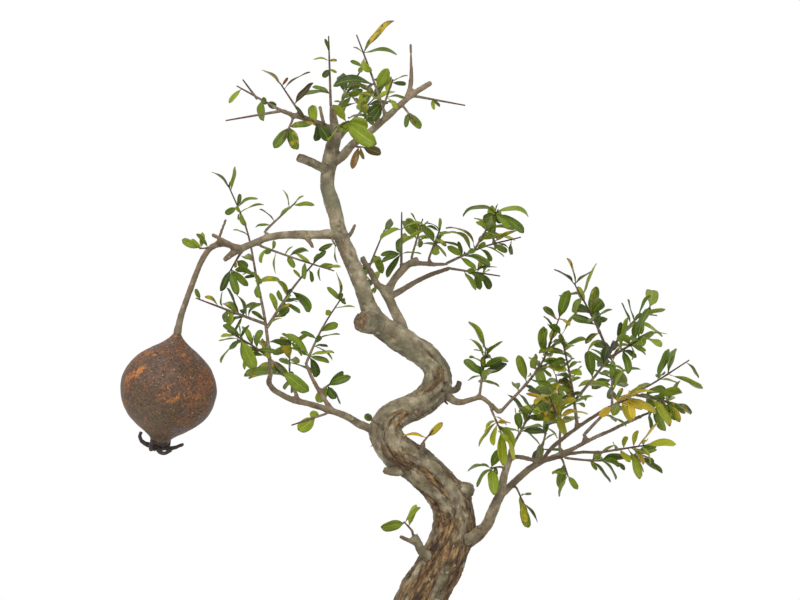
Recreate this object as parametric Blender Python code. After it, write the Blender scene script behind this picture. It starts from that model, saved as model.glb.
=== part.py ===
"""A pomegranate bonsai in a shallow tray: one grown wood piece, leafy sprays, one fruit, soil and pot.

Every table and every size here is in millimetres, and the meshes are made in metres.
X runs left to right as the tree is seen from its front, Y runs away to the back, Z is up.
The floor under the pot's feet is Z = 0.
"""
import math
import random

import bmesh
import bpy
import numpy as np
from mathutils import Matrix, Quaternion, Vector, noise

MM = 0.001
FIT_GAP = 0.35            # air left between two pieces that touch on the real tree
NOISE_SEED = 4            # without it the bark's unevenness would change from run to run

# The tray
POT_LENGTH = 300.0
POT_DEPTH = 210.0
POT_HEIGHT = 62.0
POT_CORNER = 34.0
POT_TAPER = 12.0          # how much narrower each side is at the base
POT_WALL = 8.0
POT_FLOOR = 9.0
LIP_OUT = 5.0
LIP_HEIGHT = 9.0
FOOT_SIZE = (40.0, 26.0)
FOOT_HEIGHT = 11.0
FOOT_INSET = (96.0, 62.0)
DRAIN_RADIUS = 10.0
DRAIN_X = 62.0

# The soil
SOIL_BELOW_RIM = 5.0
MOUND_TOP = 78.0
MOUND_CENTRE = (-22.0, 2.0)
MOUND_STEEPNESS = 1.4
SOIL_EDGE_RISE = 1.0
SOIL_WAVES = 1.6          # depth of the soil's unevenness
ROOT_HOLE_MORE = 0.05     # more air round the roots than the usual gap

# The wood: each point is (x, y, z, radius), chosen by hand along the middle of the wood
TRUNK_SIDES = 12
LIMB_SIDES = 8
TWIG_SIDES = 6            # sides of limbs thinner than TWIG_RADIUS
SHOOT_SIDES = 4           # sides of the sprays' shoots and spurs
TWIG_RADIUS = 4.0
TRUNK_STEP = 11.0
LIMB_STEP = 17.0
TRUNK_RELIEF = 1.3        # depth and grain of the trunk's unevenness
TRUNK_GRAIN = 14.0
ROOT_PLUG = 46.0          # the height where the buried foot of the trunk ends
ROOT_STEP = 9.0
ROOT_ANGLES = (14, 78, 142, 196, 250, 312)
TRUNK_ROUTE = [
    (-23, 2, ROOT_PLUG, 17.5), (-23, 3, 62.5, 18.9), (-22.5, 3, 73.5, 20.3), (-20, 3, 85, 19.6), (-16, 3, 99.5, 18.6),
    (-9.5, 3, 118, 17.9), (1.5, 4, 143.5, 17.2), (13, 5.5, 164.5, 16.2), (21.5, 7, 182, 15),
    (25, 8.5, 198, 14.3), (22.5, 7, 213, 14.1), (12, 3, 226.5, 12.8), (-3.5, -3, 240.5, 12.4),
    (-17.5, -8.5, 251, 11.7), (-23.5, -11, 262, 11.1), (-20, -10, 271.5, 9.9),
    (-9.5, -5.5, 277.5, 9.3), (3.5, 0, 283.5, 9.7), (12, 5.5, 292.5, 10.1), (13, 10, 303.5, 9.3),
    (6, 10, 313.5, 9.1), (-5.5, 8.5, 322, 8.9), (-17.5, 7, 329.5, 8.7), (-28.5, 4, 338, 7.7),
    (-35.5, 3, 349.5, 5.9), (-39, 1.5, 361, 5.5), (-47, 0, 381, 5.5), (-55, -1.5, 400.5, 5.1),
    (-58.5, -1.5, 414.5, 5.1), (-61.5, -3, 425.5, 5.5), (-64, -3, 435.5, 4.8), (-63, -3, 447, 5.3),
    (-61, -1.5, 459, 4.8), (-58.5, 0, 471, 4.1), (-60, 1.5, 482.5, 2.7), (-61.5, 1.5, 490, 1.5)
]
LIMBS = {
    "knob_cut": [
        (-27, 3, 336, 6.7), (-35.5, -4, 338, 7.3), (-40.5, -10, 340, 7)
    ],
    "burl": [
        (25.5, 5.5, 216, 7.7), (31.5, 3, 220.5, 6.7), (36.5, 0, 221, 4.9)
    ],
    "stub_low_left": [
        (-7.5, -5.5, 235.5, 3.2), (-16.5, -14, 235, 3), (-24, -19.5, 236.5, 2.8)
    ],
    "stub_dark_right": [
        (20, 11, 290, 2.8), (27, 17, 291, 2.4), (29, 18, 297, 2)
    ],
    "stub_sprout": [
        (10, 0, 172, 3.8), (2, -11, 179.5, 3.2), (-1.5, -17, 187.5, 3), (-3.5, -18, 191, 3.1)
    ],
    "stub_sprout_arm": [
        (0, -15.5, 184.5, 1.8), (-7.5, -19.5, 188, 1.7), (-13, -24, 191, 1.5)
    ],
    "stub_inner_right": [
        (-3.5, -3, 240.5, 2.8), (1.5, -11, 248, 2.2), (3, -15.5, 255.5, 1.9)
    ],
    "stub_limb_foot": [
        (31, 3, 185, 4.2), (38.5, -8.5, 190, 3.8), (42.5, -14, 195.5, 3.4)
    ],
    "stub_crown_left": [
        (-61.5, -3, 444.5, 3.9), (-69, -8.5, 447, 3.2), (-76.5, -14, 450.5, 3.1), (-84, -18, 453, 3)
    ],
    "stub_spur_right": [
        (-54.5, 0, 396, 2.4), (-48.5, 5.5, 400, 1.7), (-44.5, 8.5, 407.5, 1.3)
    ],
    "second": [
        (-9, 11, 327.5, 4.4), (-12, 14, 336, 4), (-16, 18, 344.5, 3.6), (-19.5, 19.5, 351.5, 3.5),
        (-23, 19.5, 358.5, 3.6), (-26, 19.5, 362.5, 3), (-29.5, 18, 365.5, 2.5),
        (-33.5, 17, 373.5, 2.3), (-38.5, 14, 381, 2.3), (-40, 12.5, 384.5, 2.3)
    ],
    "second_up": [
        (-22.5, 19.5, 359, 3.1), (-18, 17, 367.5, 3), (-12.5, 12.5, 374.5, 2.8),
        (-5.5, 8.5, 380.5, 2.5), (-0.5, 7, 383, 2.3)
    ],
    "second_far": [
        (-7, 8.5, 379.5, 2.2), (1, 11, 380, 1.8), (8.5, 14, 379.5, 1.6), (19.5, 17, 379.5, 1.4)
    ],
    "second_low": [
        (-21.5, 19.5, 356.5, 2.8), (-16, 25, 359, 2.4), (-9, 29.5, 363, 2.1), (-0.5, 33.5, 368, 2),
        (10.5, 36.5, 373, 1.8), (22.5, 38, 377, 1.6)
    ],
    "fruit_branch": [
        (-51.5, -1.5, 397.5, 3.5), (-61, -8.5, 400, 3.5), (-70, -12.5, 399.5, 3.1),
        (-79, -14, 399.5, 2.9), (-88, -15.5, 399.5, 2.8), (-95.5, -17, 399, 2.7),
        (-106, -17, 397, 2.6), (-114.5, -17, 393.5, 2.7), (-120.5, -17, 391, 2.8),
        (-126, -17, 388.5, 2.5), (-131.5, -19.5, 384.5, 2.1), (-135, -21, 381.5, 1.9)
    ],
    "fruit_stalk": [
        (-122.5, -17, 390, 2.2), (-130.5, -17, 392, 2.1), (-136.5, -17, 393, 2.1),
        (-142.5, -17, 391.5, 2.1), (-147.5, -17, 386.5, 2.1), (-152.5, -17, 377, 2.1),
        (-157, -17, 365.5, 2.1), (-161.5, -17, 353, 2.1), (-165, -17, 343, 2.4),
        (-166.5, -17, 335.5, 2.8), (-167.5, -17, 330.5, 3.1)
    ],
    "cut_twig_left": [
        (-125, -19.5, 389.5, 1.8), (-134.5, -22.5, 395, 1.6), (-143, -25, 399.5, 1.5)
    ],
    "cut_twig_up": [
        (-140, -17, 391.5, 1.5), (-137.5, -15.5, 400.5, 1.2), (-134, -12.5, 410.5, 1.1)
    ],
    "under_spur": [
        (-79, -14, 398.5, 2.1), (-75, -17, 393.5, 1.6), (-73.5, -18, 390, 1.2)
    ],
    "mid_left": [
        (-23.5, -11, 259.5, 3.5), (-34.5, -14, 265, 3.2), (-42.5, -18, 269, 2.9),
        (-50.5, -22.5, 274, 2.7), (-60.5, -26.5, 278, 2.5), (-70.5, -29.5, 281.5, 2.3),
        (-82.5, -31, 284.5, 2.3), (-88, -31, 286, 2.2), (-93, -31, 288.5, 2.1),
        (-100, -29.5, 292.5, 2.1), (-104, -28, 298, 1.9)
    ],
    "mid_left_second": [
        (-82.5, -31, 284, 1.7), (-85.5, -33.5, 292.5, 1.5), (-88.5, -36.5, 299.5, 1.4)
    ],
    "mid_left_third": [
        (-60, -26.5, 278, 2.1), (-65, -22.5, 285, 1.8), (-69, -18, 291, 1.7), (-74, -15.5, 300, 1.5),
        (-78, -14, 309, 1.4)
    ],
    "right_high": [
        (13.5, 5.5, 290.5, 4.2), (20.5, 3, 286.5, 3.4), (25, -3, 283.5, 2.8), (30, -7, 283, 2.3),
        (36, -11, 285, 1.9), (43, -15.5, 286.5, 1.8), (49, -21, 282.5, 1.7), (55, -25, 276.5, 1.5)
    ],
    "right_low": [
        (29, 11, 181.5, 5.6), (37.5, 8.5, 186, 5.1), (43, 5.5, 190.5, 4.5), (48, 3, 196.5, 4),
        (51, 0, 204.5, 3.7), (54.5, -1.5, 213, 3.6), (57.5, -3, 219.5, 3.3), (58.5, -4, 226.5, 3),
        (60.5, -7, 235.5, 2.8), (63, -10, 243.5, 2.6), (64.5, -12.5, 251.5, 2.3)
    ],
    "right_low_fork": [
        (55.5, -1.5, 216.5, 2.9), (61, 1.5, 221, 2.7), (66, 4, 225.5, 2.5), (72.5, 7, 231, 2.5),
        (79.5, 8.5, 236.5, 2.4), (87.5, 11, 241, 2.2)
    ],
    "right_bridge": [
        (63, -10, 245, 1.9), (70.5, -4, 244.5, 1.9), (78.5, 4, 242.5, 1.8), (87.5, 11, 240.5, 1.8)
    ],
    "right_reach_front": [
        (86, 11, 240.5, 1.8), (94.5, 0, 252, 1.7), (102.5, -8.5, 259.5, 1.6), (109, -14, 265, 1.5),
        (118.5, -18, 272, 1.5), (129, -22.5, 279, 1.4)
    ],
    "right_reach_back": [
        (86, 11, 240.5, 2), (101, 22.5, 245, 1.8), (112.5, 32, 249, 1.7), (124.5, 42, 254.5, 1.7),
        (139.5, 53, 260, 1.5), (152.5, 63, 265.5, 1.5), (163.5, 70, 269.5, 1.4)
    ],
    "right_reach_low": [
        (87, 11, 240.5, 1.8), (99.5, 7, 244, 1.5), (110, 3, 247, 1.5), (127, -5.5, 248, 1.3)
    ],
    "crown_left": [
        (-59.5, 0, 472.5, 2.9), (-66, -5.5, 475.5, 2.5), (-72.5, -11, 478, 2.2),
        (-80.5, -17, 480.5, 2), (-87.5, -22.5, 482, 1.8), (-94.5, -26.5, 484.5, 1.7)
    ],
    "crown_right": [
        (-60, -1.5, 450.5, 3.5), (-53.5, -4, 454.5, 3.1), (-46, -11, 462.5, 2.9),
        (-39, -15.5, 467, 2.7), (-32.5, -18, 472, 2.6), (-25.5, -22.5, 477.5, 2.4),
        (-19, -25, 483, 2.3), (-12.5, -28, 489, 2.2), (-6, -29.5, 494.5, 2.1), (1, -31, 499, 2),
        (8.5, -32, 503.5, 1.9)
    ],
    "crown_right_stub": [
        (-8.5, -29.5, 493.5, 1.9), (-6, -29.5, 501, 1.9), (-5.5, -28, 516, 1.3), (-6, -26.5, 531, 1.1)
    ],
    "crown_back": [
        (-59.5, 1.5, 462, 2.5), (-55, 14, 469.5, 2.1), (-51, 28, 476.5, 1.8), (-47.5, 42, 483, 1.6)
    ],
    "crown_stub": [
        (-61.5, -1.5, 466, 2), (-65.5, -19.5, 474.5, 1.5), (-68.5, -25, 488, 1.3)
    ],
}

# The sprays: thin shoots that end the limbs. Each has its radius at the root, the number of leaf
# pairs on a shoot, the leaves at its tip and their length, its tone, and its shoots' routes.
TIP_RADIUS = 0.8
SHOOT_STEP = 32.0
SPUR_CLEAR = 1.0          # bare wood showing between a limb's bark and the foot of its spray
LIMB_END_REACH = 1.6      # a spray whose route starts this near a limb's end goes straight on from it
STRAIGHT_ON = 0.6         # if it also turns less than this, as a cosine
THIN_END = 2.0            # and if the limb's end is under this many times the shoot's radius
SPUR_LEAST = 1.5          # a spur's least length, the step it grows by, and the shoot it leaves at least
SPUR_GROWS = 0.5
SHOOT_LEAST = 3.0
SPUR_SWELL = 1.1          # a spur's radius, as a share of its shoot's
SHOOT_HEAD = 2.0          # the straight first stretch of a shoot
SIDE_SHOOT = 0.85         # a side shoot's radius, as a share of the first shoot's
LEAF_MISSING = 0.42       # share of the leaves that have dropped
LEAF_SLIMNESS = 0.35      # width over length
LEAF_RIB = 0.85           # a blade's thickness along its rib
LEAF_RIB_ABOVE = 0.6      # the share of it that stands above the blade's middle
LEAF_TIP_HALF = 0.3       # half of the width kept clear round a leaf's tip
PAIR_RUN = (0.24, 0.68)   # the leaf pairs start at this share of a shoot, and take up this share
PAIR_SPREAD = (38, 72)    # degrees between a shoot and its paired leaves, and its tip's leaves
TUFT_SPREAD = (12, 46)
OWN_OVERLAP = 0.4         # leaves of one spray may cover each other by this share of their width
LEAF_AIR = 0.35           # least air between a leaf and anything of another piece
LEAF_TRIES = 30
LEAF_RINGS = ((0.0, 0.0), (0.36, 1.0), (0.72, 0.74))   # place along the leaf, share of its full width
LEAF_ROOT_HALF = 0.5
TREE_REACH = 210.0        # no leaf reaches further to the left or right of the middle
LEAF_COVER = (0.15, 0.3, 0.45, 0.6, 0.8, 1.0)   # where along a leaf its air is tested
LEAF_SEED = 7
LEAF_LEAST = 8.0          # smaller leaves are too slight for the solids, and are left to the render
PIXEL = 0.7               # one pixel of the photo, at Y = 0
PHOTO_MIDDLE = (400, 300)
VIEW_AXIS = (-13.2, 354.2)   # x and z of the line from the camera through the photo's middle
VIEW_DISTANCE = 1600.0
SEEN_SLIMNESS = 0.3       # a leaf that shows slimmer than this is turned edge-on
SEEN_DEPTH = (-7.0, 4.0)  # how far behind its root the tip of a leaf in the photo may lie
SEEN_ROOT_CLEAR = 4.0     # bare shoot between a spray's foot and its first leaf
STRAY_DEPTH = 16.0
STRAY_PIXELS = 6.0
SPRAYS = {
    "top": dict(root=1.3, leaves=(0, 0, 18), tone="green", stems=[
        [(-61, 1.5, 490), (-62, 0, 500), (-63, -3, 515), (-63, -4, 527.5), (-63, -5.5, 538.5)],
    ]),
    "crown_low_left": dict(root=1.4, leaves=(0, 0, 18), tone="green", stems=[
        [(-94.5, -26.5, 484.5), (-105, -31, 482), (-118.5, -36.5, 479.5), (-132, -42, 476.5)],
    ]),
    "crown_far_left": dict(root=1.4, leaves=(0, 0, 18), tone="green", stems=[
        [(-93, -26.5, 483.5), (-101.5, -19.5, 488.5), (-112.5, -12.5, 494), (-127, -5.5, 503.5)],
        [(-112.5, -12.5, 494), (-117, -19.5, 499.5), (-121.5, -25, 506)],
    ]),
    "crown_twig": dict(root=1.1, leaves=(0, 0, 16), tone="bronze", stems=[
        [(-80.5, -17, 480.5), (-88, -28, 492), (-95.5, -34, 503)],
    ]),
    "crown_droop_left": dict(root=1.1, leaves=(0, 0, 18), tone="green", stems=[
        [(-86.5, -21, 481.5), (-89, -24, 474), (-93, -28, 465.5)],
    ]),
    "crown_mid": dict(root=1.4, leaves=(0, 0, 18), tone="green", stems=[
        [(-23, -24, 480.5), (-27.5, -19.5, 494.5), (-32.5, -14, 509), (-37.5, -10, 524),
         (-43.5, -7, 539)],
        [(-25, -22, 486.8), (-20.5, -26, 496), (-18, -28.5, 506)],
    ]),
    "crown_second": dict(root=1.2, leaves=(0, 0, 18), tone="green", stems=[
        [(-59.5, 1.5, 482.5), (-54, 10, 496.5), (-46.5, 17, 510), (-37.5, 22.5, 523)],
    ]),
    "crown_bare": dict(root=1.2, leaves=(0, 0, 18), tone="green", stems=[
        [(-6, -29.5, 494.5), (4.5, -24, 493.5), (18.5, -17, 491.5), (32, -11, 489.5)],
    ]),
    "crown_back": dict(root=1.3, leaves=(1, 2, 18), tone="green", stems=[
        [(-48, 42, 482.5), (-40, 56, 492), (-33, 70, 500.5)],
        [(-40, 56, 492), (-48, 67, 503), (-54.5, 78.5, 511.5)],
    ]),
    "crown_inner": dict(root=1.1, leaves=(0, 3, 17), tone="green", stems=[
        [(-46, -11, 462.5), (-42, -3, 474.5), (-37, 4, 483.5)],
    ]),
    "crown_front_left": dict(root=1.1, leaves=(0, 0, 18), tone="green", stems=[
        [(-72.5, -11, 478), (-71.5, -20, 477), (-69.5, -27, 475.5)],
    ]),
    "crown_front": dict(root=1.2, leaves=(0, 0, 18), tone="green", stems=[
        [(-58.5, -0.5, 471.5), (-55, -14, 478), (-51.5, -25, 480), (-48.5, -32, 477)],
    ]),
    "crown_under": dict(root=1.1, leaves=(0, 0, 18), tone="bronze", stems=[
        [(-46, -11, 462.5), (-42.5, -19, 460), (-38.5, -26, 459.5)],
    ]),
    "crown_droop_right": dict(root=1.1, leaves=(0, 0, 18), tone="green", stems=[
        [(-12.5, -28, 489), (-7, -35, 482), (-2.5, -40.5, 475)],
    ]),
    "upper_left": dict(root=1.2, leaves=(0, 0, 18), tone="green", stems=[
        [(-106, -17, 397), (-105, -11, 408.5), (-99.5, -5.5, 418.5), (-93, -1.5, 425), (-86, 3, 423)],
    ]),
    "thin_droop": dict(root=1.1, leaves=(0, 0, 18), tone="green", stems=[
        [(-113, -17, 393.5), (-100, -28, 387), (-83, -36.5, 382), (-72, -42, 378), (-58, -47.5, 374)],
    ]),
    "left_reach": dict(root=1.1, leaves=(0, 0, 18), tone="green", stems=[
        [(-136.5, -17, 392.5), (-144, -24, 390), (-151, -29, 389.5)],
    ]),
    "high_left": dict(root=1.0, leaves=(0, 0, 18), tone="green", stems=[
        [(-61, -8.5, 399.5), (-60, -15, 395.5), (-57.5, -19, 391.5)],
    ]),
    "small_droop": dict(root=1.1, leaves=(0, 0, 18), tone="green", stems=[
        [(-121.5, -17, 390), (-127, -11, 382), (-131.5, -8.5, 374.5)],
    ]),
    "tall_left": dict(root=1.8, leaves=(0, 0, 18), tone="green", stems=[
        [(-103.5, -28, 297), (-102, -24, 307.5), (-104.5, -18, 322.5), (-106.5, -12.5, 337.5),
         (-109.5, -5.5, 361), (-114, -1.5, 371.5), (-118, 4, 388), (-121, 8.5, 403.5),
         (-124.5, 11, 417), (-134.5, 14, 435.5)],
        [(-106.5, -12.5, 337.5), (-121.5, -22.5, 342.5), (-132.5, -31, 348), (-144.5, -39, 353),
         (-152, -45, 355.5)],
        [(-105.5, -14, 335), (-95.5, -3, 352), (-85, 5.5, 367), (-77.5, 11, 375.5), (-66.5, 17, 389)],
    ]),
    "mid_left_low": dict(root=1.3, leaves=(0, 0, 18), tone="green", stems=[
        [(-88.5, -36.5, 299.5), (-93.5, -43.5, 310.5), (-109.5, -50.5, 320.5), (-121.5, -56, 328),
         (-129.5, -61.5, 333.5)],
    ]),
    "mid_left_up": dict(root=1.3, leaves=(0, 0, 18), tone="green", stems=[
        [(-78, -14, 309), (-77, -12.5, 317.5), (-71, -10, 327), (-61.5, -7, 346.5),
         (-53.5, -5.5, 356.5)],
    ]),
    "mid_left_under": dict(root=1.1, leaves=(0, 0, 18), tone="green", stems=[
        [(-60.5, -26.5, 278), (-69, -38, 274), (-78, -46, 272), (-86.5, -53, 269.5)],
    ]),
    "mid_left_inner": dict(root=1.1, leaves=(0, 0, 18), tone="green", stems=[
        [(-68.5, -18, 290.5), (-61, -8.5, 297), (-53, 0, 301.5)],
    ]),
    "mid_left_behind": dict(root=1.3, leaves=(0, 1, 19), tone="green", stems=[
        [(-82.5, -31, 284.5), (-85.5, -11, 290.5), (-90.5, 8.5, 300.5), (-93, 25, 314.5),
         (-91.5, 39, 327)],
    ]),
    "trunk_sprout": dict(root=1.1, leaves=(0, 0, 18), tone="lime", stems=[
        [(-3.5, -18, 190), (-5.5, -25, 196.5), (-10.5, -31, 202)],
    ]),
    "trunk_gold": dict(root=1, leaves=(0, 0, 18), tone="gold", stems=[
        [(2.5, -15.5, 255), (5.5, -19.5, 260), (9.5, -22.5, 264)],
    ]),
    "trunk_left": dict(root=1, leaves=(0, 0, 18), tone="green", stems=[
        [(-21.5, -11, 264), (-31, -25, 270), (-36.5, -32, 275.5)],
    ]),
    "second_upright": dict(root=1.2, leaves=(0, 0, 18), tone="green", stems=[
        [(-12.5, 12.5, 374.5), (-12, 5.5, 389.5), (-12, 0, 403), (-12, -4, 415.5)],
    ]),
    "second_lean": dict(root=1.1, leaves=(0, 0, 18), tone="green", stems=[
        [(-5, 9, 379.5), (-4, 17, 392.5), (-1, 24, 403), (3, 29.5, 412)],
    ]),
    "second_mid": dict(root=1.1, leaves=(0, 0, 18), tone="green", stems=[
        [(8.5, 14, 379.5), (7, 7, 386.5), (10.5, 1.5, 395.5), (15, -3, 404.5)],
    ]),
    "second_long": dict(root=1.3, leaves=(0, 0, 18), tone="green", stems=[
        [(19.5, 17, 379.5), (28, 19.5, 385.5), (37, 22.5, 389.5), (48, 25, 392.5), (62.5, 28, 397),
         (73, 31, 399)],
        [(40, 23, 390.5), (46, 17, 400), (51, 12.5, 410), (56, 8.5, 418)],
        [(53, 26.5, 394), (54, 33.5, 401.5), (55.5, 39, 408.5)],
    ]),
    "second_fork": dict(root=1.2, leaves=(0, 0, 18), tone="green", stems=[
        [(22.5, 38, 377), (32, 40.5, 375), (47, 45, 371), (59, 49, 371.5)],
    ]),
    "second_arch": dict(root=1.1, leaves=(0, 1, 17), tone="green", stems=[
        [(-33.5, 17, 373.5), (-37.5, 31, 384), (-33.5, 39, 396), (-24.5, 45, 404.5)],
    ]),
    "second_back": dict(root=1.3, leaves=(2, 2, 18), tone="green", stems=[
        [(-21.5, 19.5, 356.5), (-27.5, 42, 361.5), (-33.5, 61.5, 368.5), (-36.5, 78.5, 377.5)],
    ]),
    "right_tall": dict(root=1.2, leaves=(3, 2, 19), tone="green", stems=[
        [(41.5, -14.5, 286), (44, -8.5, 298.5), (45.5, -4, 308), (47, 0, 320.5)],
    ]),
    "right_rise": dict(root=1.4, leaves=(4, 2, 20), tone="green", stems=[
        [(55, -25, 276.5), (63, -26.5, 284.5), (73.5, -28, 295), (83, -31, 309), (90.5, -33.5, 318.5),
         (93.5, -36.5, 332.5), (95.5, -39, 342)],
    ]),
    "right_hang": dict(root=1.1, leaves=(1, 3, 21), tone="lime", stems=[
        [(49, -21, 282.5), (51, -33.5, 273.5), (55.5, -45, 264.5)],
    ]),
    "right_front": dict(root=1.6, leaves=(3, 2, 20), tone="green", stems=[
        [(109, -14, 265), (109, -21, 277), (108, -26.5, 286), (104, -32, 299.5), (99.5, -38, 318.5),
         (96.5, -42, 331)],
        [(108, -26.5, 286), (119.5, -22.5, 301), (132.5, -17, 314.5), (141, -11, 330.5),
         (151.5, -5.5, 341.5), (162, 0, 349.5)],
        [(132.5, -17, 314.5), (127.5, -22.5, 325), (122.5, -28, 335.5), (115.5, -33.5, 350),
         (112, -36.5, 357.5), (105.5, -39, 366)],
        [(132.5, -17, 314.5), (144.5, -28, 321), (154, -38, 329.5)],
    ]),
    "right_far": dict(root=1.6, leaves=(3, 2, 21), tone="green", stems=[
        [(118, 36.5, 251), (121, 40.5, 261), (129, 43.5, 272), (144.5, 47.5, 280.5),
         (157.5, 52, 285.5), (171, 56, 294.5), (184, 59, 303.5), (197, 61.5, 310.5)],
        [(157.5, 52, 285.5), (172, 61.5, 280), (187, 68.5, 279)],
        [(139.5, 46, 278), (137, 59, 296), (141.5, 70, 310.5)],
    ]),
    "right_low_front": dict(root=1.2, leaves=(2, 2, 20), tone="lime", stems=[
        [(126.5, -5.5, 248), (135.5, -11, 250), (144.5, -17, 251.5), (156.5, -22.5, 254)],
    ]),
    "right_low_back": dict(root=1.2, leaves=(3, 2, 19), tone="green", stems=[
        [(101, 22.5, 245), (110, 18, 240), (129.5, 22.5, 240), (156.5, 28, 243)],
    ]),
    "right_back_end": dict(root=1.2, leaves=(1, 3, 18), tone="green", stems=[
        [(163, 69.5, 269), (171.5, 75.5, 273), (181, 81, 275)],
    ]),
    "right_front_end": dict(root=1.2, leaves=(1, 3, 19), tone="gold", stems=[
        [(128.5, -22.5, 278.5), (135, -31, 283.5), (142.5, -39, 286.5)],
    ]),
    "right_inner_hang": dict(root=1, leaves=(0, 3, 18), tone="green", stems=[
        [(60.5, -7, 235.5), (54, -18, 240.5), (49, -26.5, 238.5)],
    ]),
    "right_under": dict(root=1, leaves=(0, 3, 18), tone="green", stems=[
        [(99.5, 7, 244), (102.5, -4, 238.5), (103.5, -12.5, 232)],
    ]),
    "right_under_near": dict(root=1, leaves=(0, 3, 17), tone="green", stems=[
        [(66, 4, 225.5), (70.5, -4, 219.5), (72.5, -11, 213)],
    ]),
    "right_core_up": dict(root=1.3, leaves=(2, 2, 20), tone="green", stems=[
        [(64, -12.5, 250.5), (68, -18, 260), (72.5, -22.5, 269.5), (78.5, -24, 279)],
    ]),
    "right_core_back": dict(root=1.4, leaves=(3, 2, 21), tone="green", stems=[
        [(80.5, 8.5, 236.5), (86.5, 28, 246), (91.5, 47.5, 257.5), (94.5, 61.5, 271.5), (93, 73, 287)],
    ]),
    "right_core_mid": dict(root=1.3, leaves=(4, 2, 20), tone="green", stems=[
        [(101, 22.5, 245), (100, 29, 256), (101, 33, 270), (101.5, 35, 285.5), (98.5, 39, 301)],
    ]),
    "right_core_front": dict(root=1.2, leaves=(2, 3, 20), tone="gold", stems=[
        [(102.5, -8.5, 259.5), (97, -22.5, 268.5), (91, -33.5, 279), (88.5, -42, 289)],
    ]),
}

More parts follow.
